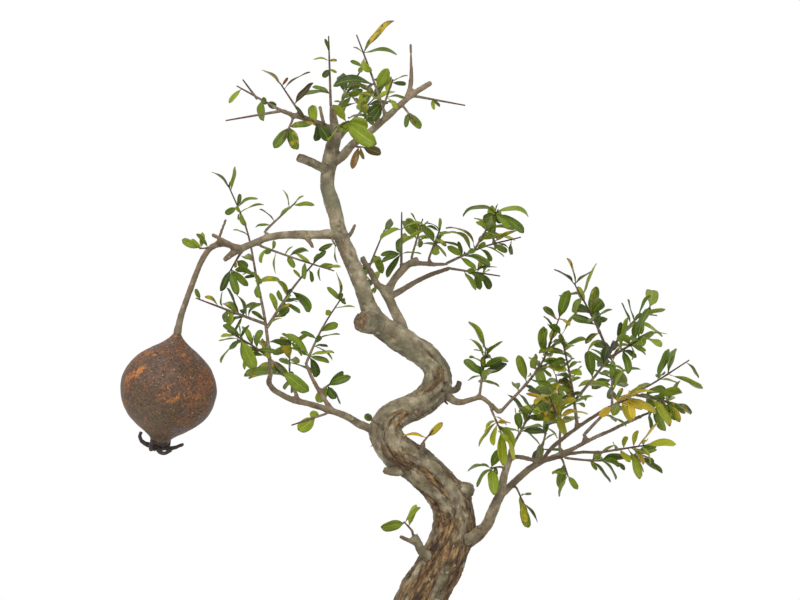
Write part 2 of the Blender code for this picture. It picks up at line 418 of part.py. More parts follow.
# Leaves placed by eye, read in the photo as pixels: root (across, down), tip (across, down), width as it
# shows, and how much the blade bends on its way, in radians
SEEN_LEAVES = {
    "top": [(324.5, 51.5, 324.5, 38.5, 5, 0.4), (330, 61, 313, 59.5, 2.5, 0.8), (330, 61, 337, 61, 2.5, 0.5),
        (328.5, 66, 322.5, 77.5, 7.5, 0.4), (332, 67, 337, 72.5, 3, 0.5), (330, 92, 312, 87, 2.5, 0.7),
        (328.5, 109.5, 295.5, 98.5, 2.5, 0.9)],
    "crown_far_left": [(237.5, 88.5, 228.5, 103.5, 5.5, 0.6), (271.5, 91, 261, 100, 8.5, 0.4),
        (261, 100.5, 264, 121.5, 12.5, 0.5), (269, 100.5, 276.5, 107, 7.5, 0.4)],
    "crown_twig": [(277.5, 84, 261, 69.5, 5, 0.7), (277.5, 82.5, 288, 77.5, 3, 0.5), (284, 88.5, 311, 72, 3, 0.6),
        (293.5, 103.5, 303.5, 118.5, 5.5, 0.5), (303.5, 107, 314, 82.5, 8.5, 0.4)],
    "crown_front_left": [(313, 122.5, 312, 105, 10.5, 0.4), (315, 124.5, 290, 126.5, 8.5, 0.9),
        (313, 122.5, 315, 141.5, 11.5, 0.5), (322.5, 124.5, 330, 141.5, 11.5, 0.5)],
    "crown_front": [(327, 115, 351, 129, 11.5, 0.7), (343.5, 111, 368.5, 127, 15.5, 0.6),
        (348.5, 122.5, 374, 140.5, 16.5, 0.7)],
    "crown_droop_left": [(292, 129, 273.5, 148.5, 11.5, 0.6), (293, 129, 298.5, 150, 14.5, 0.5)],
    "crown_under": [(368.5, 142.5, 381.5, 154, 9.5, 0.6), (360.5, 146.5, 364.5, 159.5, 5.5, 0.5),
        (348.5, 151, 352, 169.5, 5.5, 0.5)],
    "crown_mid": [(373, 86, 332, 86, 6.5, 1.1), (365.5, 57.5, 372, 71.5, 8.5, 2.2),
        (368.5, 49.5, 395, 20, 7.5, 0.5), (375, 51.5, 398, 54.5, 5.5, 0.8), (361.5, 52.5, 353, 47, 2.5, 0.4),
        (380, 89, 388.5, 68, 11.5, 0.4), (392.5, 78.5, 408.5, 75.5, 3, 0.6), (393, 84, 406.5, 84, 5, 0.6),
        (378, 102.5, 356, 95.5, 4, 1.3), (380, 107, 367.5, 115, 8.5, 0.6), (381, 109, 372, 120.5, 8.5, 0.5),
        (389.5, 98.5, 406.5, 98.5, 2, 0.6)],
    "crown_second": [(363.5, 57.5, 350, 61, 3.5, 0.7), (364.5, 63, 358, 71.5, 5.5, 0.5),
        (340.5, 97.5, 345.5, 92, 2.5, 0.4), (341.5, 105, 334, 101.5, 2.5, 0.4)],
    "crown_droop_right": [(401, 109, 411.5, 118.5, 5.5, 0.5), (397, 113, 405.5, 128, 1.5, 0.5),
        (415, 107, 421, 129, 10, 0.4)],
    "crown_bare": [(429.5, 101.5, 434.5, 110, 2.5, 0.4), (433.5, 104.5, 440, 107, 2.5, 0.4)],
    "second_upright": [(400.5, 229.5, 380, 240.5, 5.5, 1.9), (403, 232, 424.5, 225, 2.5, 1.2),
        (400.5, 234, 400.5, 253.5, 14, 0.5), (399.5, 253.5, 386.5, 278, 7.5, 0.5), (398, 251, 380, 255, 5.5, 0.7),
        (398, 259.5, 381.5, 262.5, 4.5, 0.6)],
    "second_arch": [(384, 278, 362.5, 269, 4.5, 1.2), (373.5, 266, 380.5, 257, 2.5, 0.5)],
    "second_lean": [(423, 226, 427.5, 231, 5, 0.4), (417, 236, 431, 237, 4.5, 1.2), (412, 244.5, 437, 237, 2, 1.1),
        (416, 245.5, 447, 257, 2, 1.5)],
    "second_mid": [(441, 228.5, 440, 217.5, 4.5, 0.3), (437, 229, 426, 226.5, 3, 1.2),
        (440, 217.5, 426.5, 223.5, 2.5, 1.6), (436, 237, 446.5, 246.5, 3, 1.1), (429.5, 257, 439.5, 251.5, 3, 0.5),
        (447, 228, 443.5, 236, 1.5, 0.6)],
    "second_long": [(472, 248.5, 445, 228, 3.5, 1.7), (469.5, 249.5, 443.5, 229.5, 1.5, 1.6),
        (462, 249, 447, 246, 7.5, 0.5), (457, 238.5, 458, 241, 5, 0.5), (487.5, 206.5, 462.5, 216.5, 6.5, 2.3),
        (487.5, 209, 483, 220, 8.5, 0.5), (493, 208, 498, 203.5, 3.5, 0.3), (493, 216, 501.5, 223.5, 7.5, 0.4),
        (514, 210.5, 529.5, 216.5, 6, 1.7), (512.5, 213.5, 524.5, 233.5, 7.5, 0.8),
        (505.5, 220, 510, 227.5, 2.5, 0.4), (510, 229, 513, 254.5, 12.5, 0.4), (492, 248, 507.5, 252, 7.5, 0.5),
        (490.5, 235.5, 475.5, 221.5, 2.5, 0.4), (496.5, 232, 499, 239, 6, 0.3), (498, 242, 509, 248.5, 3, 0.6)],
    "second_fork": [(474.5, 262, 497.5, 267, 4, 0.5), (469, 261, 475.5, 271.5, 7.5, 0.4),
        (477, 259.5, 482.5, 256, 6, 0.4), (483, 253.5, 491, 256, 4.5, 0.4)],
    "second_low": [(409.5, 287, 422, 277.5, 5, 1.7), (412, 283, 413.5, 292.5, 5.5, 0.4)],
    "tall_left": [(224.5, 179, 211.5, 171.5, 2, 0.7), (226.5, 179.5, 235.5, 166, 2, -0.5),
        (229.5, 188.5, 230.5, 181, 5, 0.3), (242.5, 208.5, 240, 193.5, 3.5, 0.3),
        (243.5, 208, 258.5, 198.5, 2, 1.0), (244.5, 209.5, 264.5, 204.5, 3.5, 0.6),
        (244, 212, 246.5, 226, 7.5, 0.4), (240, 212, 238.5, 220.5, 5, 0.4), (235.5, 207.5, 225, 214, 6.5, 0.6),
        (243, 208.5, 235.5, 206.5, 3.5, 0.6), (247.5, 235.5, 232.5, 230, 2, 0.8),
        (254, 277, 234.5, 269.5, 3.5, 0.8), (252.5, 276.5, 244.5, 277.5, 3, 0.9), (261, 280, 280, 280, 6, 1.6),
        (258.5, 280, 260.5, 298, 9.5, 0.5), (299, 280, 293, 269.5, 4, 0.5), (311.5, 274, 312, 282.5, 6, 0.4),
        (313, 263, 326.5, 250.5, 4, 0.2), (312, 265.5, 319, 253.5, 4.5, 0.3), (284, 293.5, 292.5, 289.5, 6.5, 0.5),
        (223, 304, 222.5, 291.5, 7.5, 0.4), (218.5, 304, 204.5, 296.5, 3.5, 1.0),
        (198, 298, 195.5, 288.5, 5.5, 0.4), (237.5, 314, 223.5, 313.5, 4, 0.6), (250.5, 316, 261, 303.5, 2.5, 1.4),
        (272, 312, 270, 292.5, 4, 0.4), (280.5, 303.5, 278, 290, 7.5, 0.4), (275.5, 319, 290, 308, 6, -0.8)],
    "left_reach": [(197.5, 247.5, 181.5, 239.5, 8, 0.5), (195, 245, 191, 239, 5, 0.4),
        (207.5, 246.5, 196, 233.5, 5.5, 0.7), (198.5, 245, 202.5, 232, 1.5, 0.3)],
    "small_droop": [(235.5, 253.5, 237, 267, 7.5, 0.4), (238, 255.5, 247.5, 268.5, 9.5, 0.4),
        (228.5, 274, 220.5, 292, 6, 0.4), (230, 281, 238, 295.5, 7.5, 0.4), (233, 271.5, 248.5, 286.5, 8.5, 0.4)],
    "thin_droop": [(274.5, 251.5, 275.5, 274, 8.5, 0.4), (272, 250.5, 264, 252.5, 6, 0.6),
        (272, 248.5, 274, 240.5, 5, 0.4), (309, 266.5, 296, 254, 5, 0.9), (254, 246, 261, 263.5, 3.5, 1.5),
        (319, 266.5, 320.5, 281, 9.5, 0.5), (324, 265.5, 341, 267, 1.5, 0.5)],
    "upper_left": [(283.5, 200, 283, 189.5, 6, 0.6), (295, 202, 315, 205, 5, 0.3),
        (296, 202, 304, 195.5, 1.5, 0.3), (274.5, 215.5, 292, 206.5, 2, 0.5), (269.5, 219.5, 259, 209, 3, 0.7),
        (262, 232.5, 255, 227.5, 3.5, 1.0)],
    "mid_left_up": [(336, 272.5, 326.5, 287, 7.5, 0.6), (344.5, 281, 336, 271.5, 6, 0.5),
        (343.5, 276.5, 343, 293.5, 9.5, 0.4), (354.5, 291, 345, 303, 6.5, 0.6), (308.5, 354, 335, 353, 4, 0.6),
        (308.5, 357.5, 330, 362.5, 6, 0.9), (308.5, 358, 316, 378, 9.5, 0.5), (316, 338.5, 300, 332.5, 3.5, 0.9),
        (317.5, 338.5, 340.5, 334.5, 1.5, 0.6), (332.5, 310, 325.5, 313, 6.5, 0.4),
        (333.5, 309.5, 355.5, 307, 1.5, 0.3), (306, 355.5, 284, 334, 6.5, 1.0), (303.5, 358, 289, 348, 5.5, 0.6)],
    "mid_left_low": [(238.5, 336.5, 222.5, 325, 3.5, 0.8), (239, 337.5, 238, 323.5, 5.5, 0.3),
        (239, 337.5, 249.5, 324.5, 4, 0.5), (235.5, 339, 220.5, 336.5, 1.5, 0.4), (241, 341, 255, 370, 13.5, 0.5),
        (241.5, 349.5, 220.5, 363.5, 3, 1.0), (247.5, 353, 244, 371, 6, 0.6), (260, 348, 279, 353.5, 6, 0.4),
        (258.5, 355.5, 272, 358, 4, 0.6), (254, 344.5, 254, 335, 2.5, 0.4), (287.5, 362.5, 309.5, 392, 13, 0.7)],
    "mid_left_inner": [(307, 393, 317, 402.5, 10.5, 0.4), (326.5, 390.5, 351.5, 376.5, 7.5, 0.4),
        (326.5, 390.5, 343.5, 371, 9, 0.4), (326.5, 392, 336, 399, 9.5, 0.4), (336, 398, 342, 403.5, 3, 0.4)],
    "mid_left_under": [(323, 406.5, 309.5, 413.5, 7.5, 0.5), (315.5, 416, 297.5, 430.5, 13, 0.4)],
    "mid_left_behind": [(279, 358, 280.5, 336, 12, 0.4), (272, 343.5, 302, 356.5, 3.5, 1.0),
        (304, 330, 281.5, 333.5, 2.5, 1.0), (269.5, 382, 243, 376.5, 4, 0.8), (268.5, 384.5, 247.5, 379, 2, 0.7),
        (267, 385.5, 248.5, 387.5, 1.5, 1.2), (270.5, 379.5, 272, 361.5, 7, 0.3),
        (274.5, 379.5, 294, 373.5, 5.5, 1.2), (275.5, 387, 291.5, 393.5, 1.5, 1.5),
        (268.5, 379.5, 254, 370, 3.5, 0.6)],
    "high_left": [(333.5, 243.5, 318.5, 250.5, 6, 0.9), (340, 252, 337.5, 263.5, 6.5, 0.5)],
    "trunk_sprout": [(412, 516, 380, 527, 12, 0.5), (412, 516, 421, 507, 4, 0.3), (428, 510, 416.5, 504, 5, 0.5)],
    "trunk_left": [(381, 413, 364.5, 414.5, 7.5, 0.5)],
    "trunk_gold": [(422, 437.5, 443, 422, 7, 0.4), (420, 438, 401, 436, 3.5, 0.6)],
}

# The fruit: distance along its axis from the stalk, and radius there
FRUIT_AXIS = (-0.163, 0.0, -0.987)
FRUIT_PROFILE = ((0.0, 3.4), (2.5, 5.4), (6.0, 9.6), (10.5, 16.2), (16.5, 24.2), (24.5, 30.4), (34.0, 33.6),
                 (44.0, 33.2), (52.5, 30.2), (59.5, 24.8), (65.0, 18.2), (69.5, 11.2), (72.5, 7.6), (75.0, 6.6))
FRUIT_SEAT = 0.2          # more air above the fruit, for the slant of its stalk's end
FRUIT_SIDES = 16
FRUIT_RIBS = 5
FRUIT_RIB_DEPTH = 0.028
CALYX_PROFILE = ((0.0, 6.5), (1.2, 6.1), (2.6, 5.5))
SEPAL_STEP = 9.0
SEPALS = {
    "hook": [(-183, -17, 253.4, 1.6), (-187.5, -18, 254, 1.8), (-191.5, -19.5, 256.5, 1.4), (-193, -20.5, 260, 1.2),
             (-192, -21, 263, 1.1)],
    "point": [(-177.5, -17, 252.4, 1.6), (-173.5, -18, 251.5, 1.8), (-169, -19, 252, 1.4), (-163, -20, 254.5, 1.0)],
    "under": [(-181, -20, 252.9, 1.6), (-179, -23.5, 249.5, 1.5), (-175.5, -23.5, 248.5, 1.3),
              (-171.5, -21, 250.5, 1.2)],
    "near": [(-181.5, -19, 252.9, 1.6), (-184.5, -24.5, 251.5, 1.7), (-184.5, -28.5, 254, 1.3),
             (-183.5, -29.5, 258, 1.1)],
    "back": [(-179, -14, 252.7, 1.6), (-177.5, -10, 251, 1.7), (-175, -6.5, 252.5, 1.3), (-174, -4.5, 256.5, 1.1)],
}

TONES = {
    "green": (0.10, 0.16, 0.03),
    "lime": (0.24, 0.28, 0.04),
    "gold": (0.36, 0.28, 0.04),
    "bronze": (0.16, 0.11, 0.03),
}


# Clearing the file and keeping house

noise.seed_set(NOISE_SEED)
for old in list(bpy.data.objects):
    bpy.data.objects.remove(old, do_unlink=True)

bonsai = bpy.data.collections.new("pomegranate_bonsai")
bpy.context.scene.collection.children.link(bonsai)
workshop = bpy.data.collections.new("workshop")
bpy.context.scene.collection.children.link(workshop)


def material(name, colour, roughness, metallic=0.0):
    """A plain surface for one node."""
    made = bpy.data.materials.new(name)
    made.use_nodes = True
    shader = made.node_tree.nodes["Principled BSDF"]
    shader.inputs["Base Color"].default_value = (*colour, 1.0)
    shader.inputs["Roughness"].default_value = roughness
    shader.inputs["Metallic"].default_value = metallic
    return made


def new_object(name, mesh, collection):
    obj = bpy.data.objects.new(name, mesh)
    collection.objects.link(obj)
    return obj


# Routes and tubes

def smooth_route(points, step):
    """A Catmull-Rom curve through hand-chosen points, read at even distances of about step."""
    given = np.array(points, dtype=float)
    padded = np.vstack([2 * given[0] - given[1], given, 2 * given[-1] - given[-2]])
    fine = []
    for a, b, c, d in zip(padded, padded[1:], padded[2:], padded[3:]):
        for t in np.linspace(0.0, 1.0, 8, endpoint=False):
            fine.append(0.5 * (2 * b + (c - a) * t + (2 * a - 5 * b + 4 * c - d) * t ** 2
                               + (3 * b - a - 3 * c + d) * t ** 3))
    fine = np.array(fine + [given[-1]])
    ends = np.concatenate([[0.0], np.cumsum(np.linalg.norm(np.diff(fine[:, :3], axis=0), axis=1))])
    places = np.linspace(0.0, ends[-1], max(1, round(ends[-1] / step)) + 1)
    return np.column_stack([np.interp(places, ends, fine[:, k]) for k in range(4)])


def tube(name, route, sides):
    """A closed round tube along a route of (x, y, z, radius), its caps welded."""
    curve = bpy.data.curves.new(name, "CURVE")
    curve.dimensions = "3D"
    curve.bevel_depth = MM
    curve.bevel_resolution = (sides - 4) // 2
    curve.use_fill_caps = True
    spline = curve.splines.new("POLY")
    spline.points.add(len(route) - 1)
    for point, (x, y, z, radius) in zip(spline.points, route):
        point.co = (x * MM, y * MM, z * MM, 1.0)
        point.radius = radius
    soft = new_object(name, curve, workshop)
    graph = bpy.context.evaluated_depsgraph_get()
    mesh = bpy.data.meshes.new_from_object(soft.evaluated_get(graph))
    bpy.data.objects.remove(soft, do_unlink=True)
    bpy.data.curves.remove(curve)
    weld(mesh)
    return new_object(name, mesh, workshop)


def weld(mesh):
    form = bmesh.new()
    form.from_mesh(mesh)
    bmesh.ops.remove_doubles(form, verts=form.verts, dist=1e-6)
    bmesh.ops.recalc_face_normals(form, faces=form.faces)
    form.to_mesh(mesh)
    form.free()


def loft(name, rings, tip=None):
    """A closed solid through rings with equal numbers of points; tip ends it in one point."""
    form = bmesh.new()
    made = [[form.verts.new(Vector(point) * MM) for point in ring] for ring in rings]
    count = len(made[0])
    for low, high in zip(made, made[1:]):
        for i in range(count):
            j = (i + 1) % count
            form.faces.new((low[i], low[j], high[j]))
            form.faces.new((low[i], high[j], high[i]))
    form.faces.new(made[0][::-1])
    if tip is None:
        form.faces.new(made[-1])
    else:
        end = form.verts.new(Vector(tip) * MM)
        for i in range(count):
            form.faces.new((made[-1][i], made[-1][(i + 1) % count], end))
    bmesh.ops.recalc_face_normals(form, faces=form.faces)
    mesh = bpy.data.meshes.new(name)
    form.to_mesh(mesh)
    form.free()
    return new_object(name, mesh, workshop)


def combine(name, base, others, operation="UNION", solver="EXACT"):
    """One Boolean of a base with all the others, applied; what it used is removed."""
    tools = bpy.data.collections.new(name + "_tools")
    workshop.children.link(tools)
    for tool in others:
        workshop.objects.unlink(tool)
        tools.objects.link(tool)
        tool.hide_render = True
        tool.display_type = "WIRE"
    cut = base.modifiers.new("combine", "BOOLEAN")
    cut.operation = operation
    cut.operand_type = "COLLECTION"
    cut.collection = tools
    cut.solver = solver
    graph = bpy.context.evaluated_depsgraph_get()
    mesh = bpy.data.meshes.new_from_object(base.evaluated_get(graph))
    for tool in list(tools.objects):
        bpy.data.objects.remove(tool, do_unlink=True)
    bpy.data.objects.remove(base, do_unlink=True)
    bpy.data.collections.remove(tools)
    return new_object(name, mesh, workshop)


def finish(obj, name, surface):
    """Names a finished node, gives it its surface and moves it to the tree's own collection."""
    workshop.objects.unlink(obj)
    bonsai.objects.link(obj)
    obj.name = name
    obj.data.name = name
    obj.data.materials.clear()
    obj.data.materials.append(surface)
    obj.data.shade_smooth()
    obj.data.set_sharp_from_angle(angle=math.radians(40))
    return obj


# Where the wood is, for the rules that keep shoots and leaves clear of it

def segments(route):
    """Pairs of neighbouring points of a route, as (ax, ay, az, ar, bx, by, bz, br) rows."""
    return np.hstack([route[:-1], route[1:]])


def air_to(points, rows):
    """The least distance from any of the points to the round segments' surfaces."""
    if len(rows) == 0:
        return math.inf
    start = rows[None, :, 0:3]
    along = rows[None, :, 4:7] - start
    spot = points[:, None, 0:3] - start
    share = np.clip((spot * along).sum(2) / np.maximum((along * along).sum(2), 1e-9), 0.0, 1.0)
    radius = rows[None, :, 3] + share * (rows[None, :, 7] - rows[None, :, 3])
    return float((np.linalg.norm(spot - share[..., None] * along, axis=2) - radius - points[:, None, 3]).min())


TRUNK_LINE = smooth_route(TRUNK_ROUTE, TRUNK_STEP)
LIMB_LINES = {name: smooth_route(points, LIMB_STEP) for name, points in LIMBS.items()}
WOOD_ROWS = np.vstack([segments(TRUNK_LINE)] + [segments(line) for line in LIMB_LINES.values()])


FRUIT_ROWS = np.array([[-172.5, -17, 302, 34.5, -175.5, -17, 283, 34.5],
                       [-178, -17, 270, 24, -182, -19, 250, 17]])


def limb_ending_at(foot):
    for line in [TRUNK_LINE, *LIMB_LINES.values()]:
        if np.linalg.norm(line[-1, :3] - foot) < LIMB_END_REACH:
            return line
    return None


def spray_foot(stem, root):
    """Where a spray starts: straight on from a limb's end, or off a spur that clears the bark.

    Gives the spur's route, or None, the point where the first shoot begins, and its direction.
    """
    foot = np.array(stem[0], dtype=float)
    way = np.array(stem[1], dtype=float) - foot
    reach = float(np.linalg.norm(way))
    way = way / reach
    limb = limb_ending_at(foot)
    if limb is not None:
        ahead = limb[-1, :3] - limb[-2, :3]
        straight = float(ahead @ way / np.linalg.norm(ahead))
        if straight > STRAIGHT_ON and limb[-1, 3] < THIN_END * root:
            tilt = math.sqrt(max(1.0 - straight ** 2, 0.0))
            return None, limb[-1, :3] + way * (FIT_GAP + limb[-1, 3] * tilt), way
    spur = SPUR_LEAST
    while spur < reach - SHOOT_LEAST and air_to(np.array([[*(foot + way * spur), root]]), WOOD_ROWS) < SPUR_CLEAR:
        spur += SPUR_GROWS
    route = np.array([[*foot, root * SPUR_SWELL], [*(foot + way * spur), root * SPUR_SWELL]])
    return route, foot + way * (spur + FIT_GAP), way


def shoot_lines(name):
    """A spray's shoots as routes: the first starts at its foot, the others inside the first."""
    spray = SPRAYS[name]
    lines = []
    for number, stem in enumerate(spray["stems"]):
        root = spray["root"] * (SIDE_SHOOT if number else 1.0)
        radii = np.linspace(max(root, TIP_RADIUS), TIP_RADIUS, len(stem))
        route = np.column_stack([np.array(stem, dtype=float), radii])
        if number:
            lines.append(smooth_route(route, SHOOT_STEP))
            continue
        _, start, way = spray_foot(stem, root)
        head = np.array([[*start, root], [*(start + way * SHOOT_HEAD), root]])
        lines.append(np.vstack([head[:1], smooth_route(np.vstack([head[1:], route[1:]]), SHOOT_STEP)]))
    return lines


def place_on(line, share):
    """A point of a line by share of its length, and the line's direction there."""
    steps = np.linalg.norm(np.diff(line[:, :3], axis=0), axis=1)
    ends = np.concatenate([[0.0], np.cumsum(steps)])
    at = min(share * ends[-1], ends[-1] - 1.0)
    k = min(int(np.searchsorted(ends, at, side="right")) - 1, len(steps) - 1)
    spot = line[k, :3] + (line[k + 1, :3] - line[k, :3]) * (at - ends[k]) / steps[k]
    return Vector(spot), Vector(line[k + 1, :3] - line[k, :3]).normalized()


# Leaves: (root, way, side, face, length, width, arch) says where one lies and how it bends

def draw_leaf(rng, spot, along, turn, spread, size):
    """One try at a leaf: it leaves the shoot at an angle, sags, and is rolled about its own rib."""
    level = along.orthogonal().normalized()
    outward = Quaternion(along, turn + rng.uniform(-0.5, 0.5)) @ level
    lean = math.radians(rng.uniform(*spread))
    way = along * math.cos(lean) + outward * math.sin(lean)
    way = (way - Vector((0, 0, rng.uniform(0.0, 0.35)))).normalized()
    side = Vector((0, 0, 1)).cross(way)
    side = side.normalized() if side.length > 0.15 else outward.cross(way).normalized()
    side = Quaternion(way, rng.uniform(-0.9, 0.9)) @ side
    length = size * rng.uniform(0.85, 1.35)
    width = length * LEAF_SLIMNESS * rng.uniform(0.85, 1.15)
    arch = rng.uniform(-0.15, 0.9) + 1e-4
    return spot, way, side, way.cross(side), length, width, arch


def photo_place(across, down, depth):
    """The point at a depth that shows at a place of the photo."""
    scale = PIXEL * (1 + depth / VIEW_DISTANCE)
    return Vector((VIEW_AXIS[0] + (across - PHOTO_MIDDLE[0]) * scale, depth,
                   VIEW_AXIS[1] + (PHOTO_MIDDLE[1] - down) * scale))


def shown_root(lines, across, down):
    """The point on a spray's shoots that shows nearest to a place of the photo."""
    steps = np.linspace(0.0, 1.0, 8, endpoint=False)[None, :, None]
    spots = np.vstack([(line[:-1, None, :3] + (line[1:, None, :3] - line[:-1, None, :3]) * steps).reshape(-1, 3)
                       for line in lines])
    spots = spots[np.linalg.norm(spots - lines[0][0, :3], axis=1) > SEEN_ROOT_CLEAR]
    scale = 1 + spots[:, 1] / VIEW_DISTANCE
    shown_x = (spots[:, 0] - VIEW_AXIS[0]) / scale
    shown_z = (spots[:, 2] - VIEW_AXIS[1]) / scale
    wanted = photo_place(across, down, 0.0)
    miss = np.hypot(shown_x - (wanted.x - VIEW_AXIS[0]), shown_z - (wanted.z - VIEW_AXIS[1]))
    return Vector(spots[int(miss.argmin())])


def aimed_leaf(rng, lines, seen, doubt):
    """A leaf that shows where one was read in the photo; with more doubt its tip may stray further."""
    across, down, tip_across, tip_down, width, arch = seen
    root = shown_root(lines, across, down)
    depth = root.y + rng.uniform(*SEEN_DEPTH) + doubt * rng.uniform(-STRAY_DEPTH, STRAY_DEPTH)
    stray = STRAY_PIXELS * doubt
    tip = photo_place(tip_across + rng.uniform(-stray, stray), tip_down + rng.uniform(-stray, stray), depth)
    chord = tip - root
    length = chord.length
    chord.normalize()
    seen_width = width * PIXEL
    full_width = max(seen_width, SEEN_SLIMNESS * length)
    above = (Vector((0, 0, 1)) - chord * chord.z).normalized()
    towards = chord.cross(above)
    if towards.y > 0:
        towards = -towards
    turn = math.acos(min(1.0, seen_width / full_width))
    face = towards * math.cos(turn) + above * math.sin(turn)
    half = arch / 2
    way = chord * math.cos(half) + face * math.sin(half)
    face = face * math.cos(half) - chord * math.sin(half)
    return root, way, face.cross(way), face, length * half / math.sin(half), full_width, arch


def on_leaf(leaf, share):
    """A point of a leaf's rib, and the blade's upward direction there."""
    root, way, side, face, length, width, arch = leaf
    bend = arch * share
    spot = root + (way * math.sin(bend) - face * (1 - math.cos(bend))) * length / arch
    return spot, face * math.cos(bend) + way * math.sin(bend)


def half_width(leaf, share):
    places = [place for place, _ in LEAF_RINGS] + [1.0]
    widths = [LEAF_ROOT_HALF] + [leaf[5] / 2 * part for _, part in LEAF_RINGS[1:]] + [LEAF_TIP_HALF]
    return float(np.interp(share, places, widths))


def leaf_points(leaf, shares):
    """Round spots that cover a leaf, as (x, y, z, radius) rows."""
    return np.array([[*on_leaf(leaf, share)[0], half_width(leaf, share)] for share in shares])


def leaf_tries(rng, lines, name):
    """For each leaf of a spray that its rule draws, a call that gives one more try at it."""
    pairs, tuft, size = SPRAYS[name]["leaves"]
    for line in lines:
        spots = [(PAIR_RUN[0] + PAIR_RUN[1] * (i + 0.5) / pairs, i * math.pi / 2 + j * math.pi, PAIR_SPREAD)
                 for i in range(pairs) for j in range(2)]
        spots += [(1.0, k * math.tau / max(tuft, 1), TUFT_SPREAD) for k in range(tuft)]
        for share, turn, spread in spots:
            if rng.random() >= LEAF_MISSING:
                spot, along = place_on(line, share)
                yield lambda _: draw_leaf(rng, spot, along, turn, spread, size)


def place_leaves():
    """The leaves of each spray, those read in the photo first, each tried until it hangs clear of the rest."""
    lines = {name: shoot_lines(name) for name in SPRAYS}
    shoots = {name: np.vstack([segments(line) for line in lines[name]]) for name in SPRAYS}
    grown = {name: [] for name in SPRAYS}
    blades = {name: np.empty((0, 8)) for name in SPRAYS}
    for by_eye in (True, False):
        for number, name in enumerate(SPRAYS):
            rng = random.Random(LEAF_SEED + number)
            others = [shoots[other] for other in SPRAYS if other != name]
            others += [blades[other] for other in SPRAYS if other != name]
            around = np.vstack([WOOD_ROWS, FRUIT_ROWS] + others)
            if by_eye:
                tries = [lambda doubt, seen=seen: aimed_leaf(rng, lines[name], seen, doubt)
                         for seen in SEEN_LEAVES.get(name, ())]
            else:
                tries = leaf_tries(rng, lines[name], name)
            for one_try in tries:
                for attempt in range(LEAF_TRIES):
                    leaf = one_try(attempt / LEAF_TRIES)
                    cover = leaf_points(leaf, LEAF_COVER)
                    within = np.abs(cover[:, 0]).max() < TREE_REACH
                    clear = within and air_to(cover, around) > LEAF_AIR
                    if clear and air_to(cover, blades[name]) > -OWN_OVERLAP * leaf[5]:
                        grown[name].append(leaf)
                        blades[name] = np.vstack([blades[name], segments(leaf_points(leaf, (0.3, 0.5, 0.75, 1.0)))])
                        break
    return lines, grown


def leaf_solid(name, leaf):
    """A thin bent blade with a raised rib, its root inside the shoot."""
    root, way, side, face, length, width, arch = leaf
    rings = []
    for share, _ in LEAF_RINGS:
        spot, up = on_leaf(leaf, share)
        half = half_width(leaf, share)
        edge = spot - up * LEAF_RIB * (1 - LEAF_RIB_ABOVE)
        rings.append([edge - side * half, spot + up * LEAF_RIB * LEAF_RIB_ABOVE, edge + side * half])
    return loft(name, rings, on_leaf(leaf, 1.0)[0])


# The pieces

def rounded_ring(inset, height, points=5):
    """A rounded rectangle, inset from the rim's outer edge."""
    half_x = POT_LENGTH / 2 - inset
    half_y = POT_DEPTH / 2 - inset
    corner = max(POT_CORNER - inset, 6.0)
    ring = []
    for quarter, (sign_x, sign_y) in enumerate(((1, 1), (-1, 1), (-1, -1), (1, -1))):
        for i in range(points):
            angle = math.pi / 2 * (quarter + i / (points - 1))
            ring.append(Vector((sign_x * (half_x - corner) + corner * math.cos(angle),
                                sign_y * (half_y - corner) + corner * math.sin(angle), height)))
    return ring


def inner_inset(height):
    """How far the tray's inner wall lies in from the rim's outer edge at a height."""
    floor = FOOT_HEIGHT + POT_FLOOR
    return LIP_OUT + POT_WALL + POT_TAPER * (POT_HEIGHT - height) / (POT_HEIGHT - floor)


def make_pot():
    """A tapered tray with a rounded lip, four feet and two drainage holes."""
    floor = FOOT_HEIGHT + POT_FLOOR
    under_lip = POT_HEIGHT - LIP_HEIGHT
    profile = ((LIP_OUT + POT_TAPER, FOOT_HEIGHT), (LIP_OUT, under_lip), (0.0, under_lip + 1.5),
               (0.0, POT_HEIGHT - 2.0), (2.0, POT_HEIGHT), (inner_inset(POT_HEIGHT), POT_HEIGHT),
               (inner_inset(floor), floor))
    tray = loft("tray", [rounded_ring(inset, height) for inset, height in profile])
    feet = []
    for sign_x in (-1, 1):
        for sign_y in (-1, 1):
            foot = bmesh.new()
            bmesh.ops.create_cube(foot, size=1.0)
            size = Vector((FOOT_SIZE[0], FOOT_SIZE[1], FOOT_HEIGHT + 2.0)) * MM
            place = Vector((sign_x * FOOT_INSET[0], sign_y * FOOT_INSET[1], (FOOT_HEIGHT + 2.0) / 2)) * MM
            bmesh.ops.transform(foot, matrix=Matrix.LocRotScale(place, None, size), verts=foot.verts)
            mesh = bpy.data.meshes.new("foot")
            foot.to_mesh(mesh)
            foot.free()
            feet.append(new_object("foot", mesh, workshop))
    tray = combine("tray", tray, feet)
    drains = []
    for sign_x in (-1, 1):
        hole = bmesh.new()
        bmesh.ops.create_cone(hole, cap_ends=True, segments=20, radius1=DRAIN_RADIUS * MM,
                              radius2=DRAIN_RADIUS * MM, depth=3 * POT_FLOOR * MM)
        bmesh.ops.translate(hole, verts=hole.verts, vec=Vector((sign_x * DRAIN_X, 0, floor - 4.0)) * MM)
        mesh = bpy.data.meshes.new("drain")
        hole.to_mesh(mesh)
        hole.free()
        drains.append(new_object("drain", mesh, workshop))
    tray = combine("tray", tray, drains, "DIFFERENCE")
    return finish(tray, "pot", material("pot_clay", (0.16, 0.10, 0.075), 0.75))


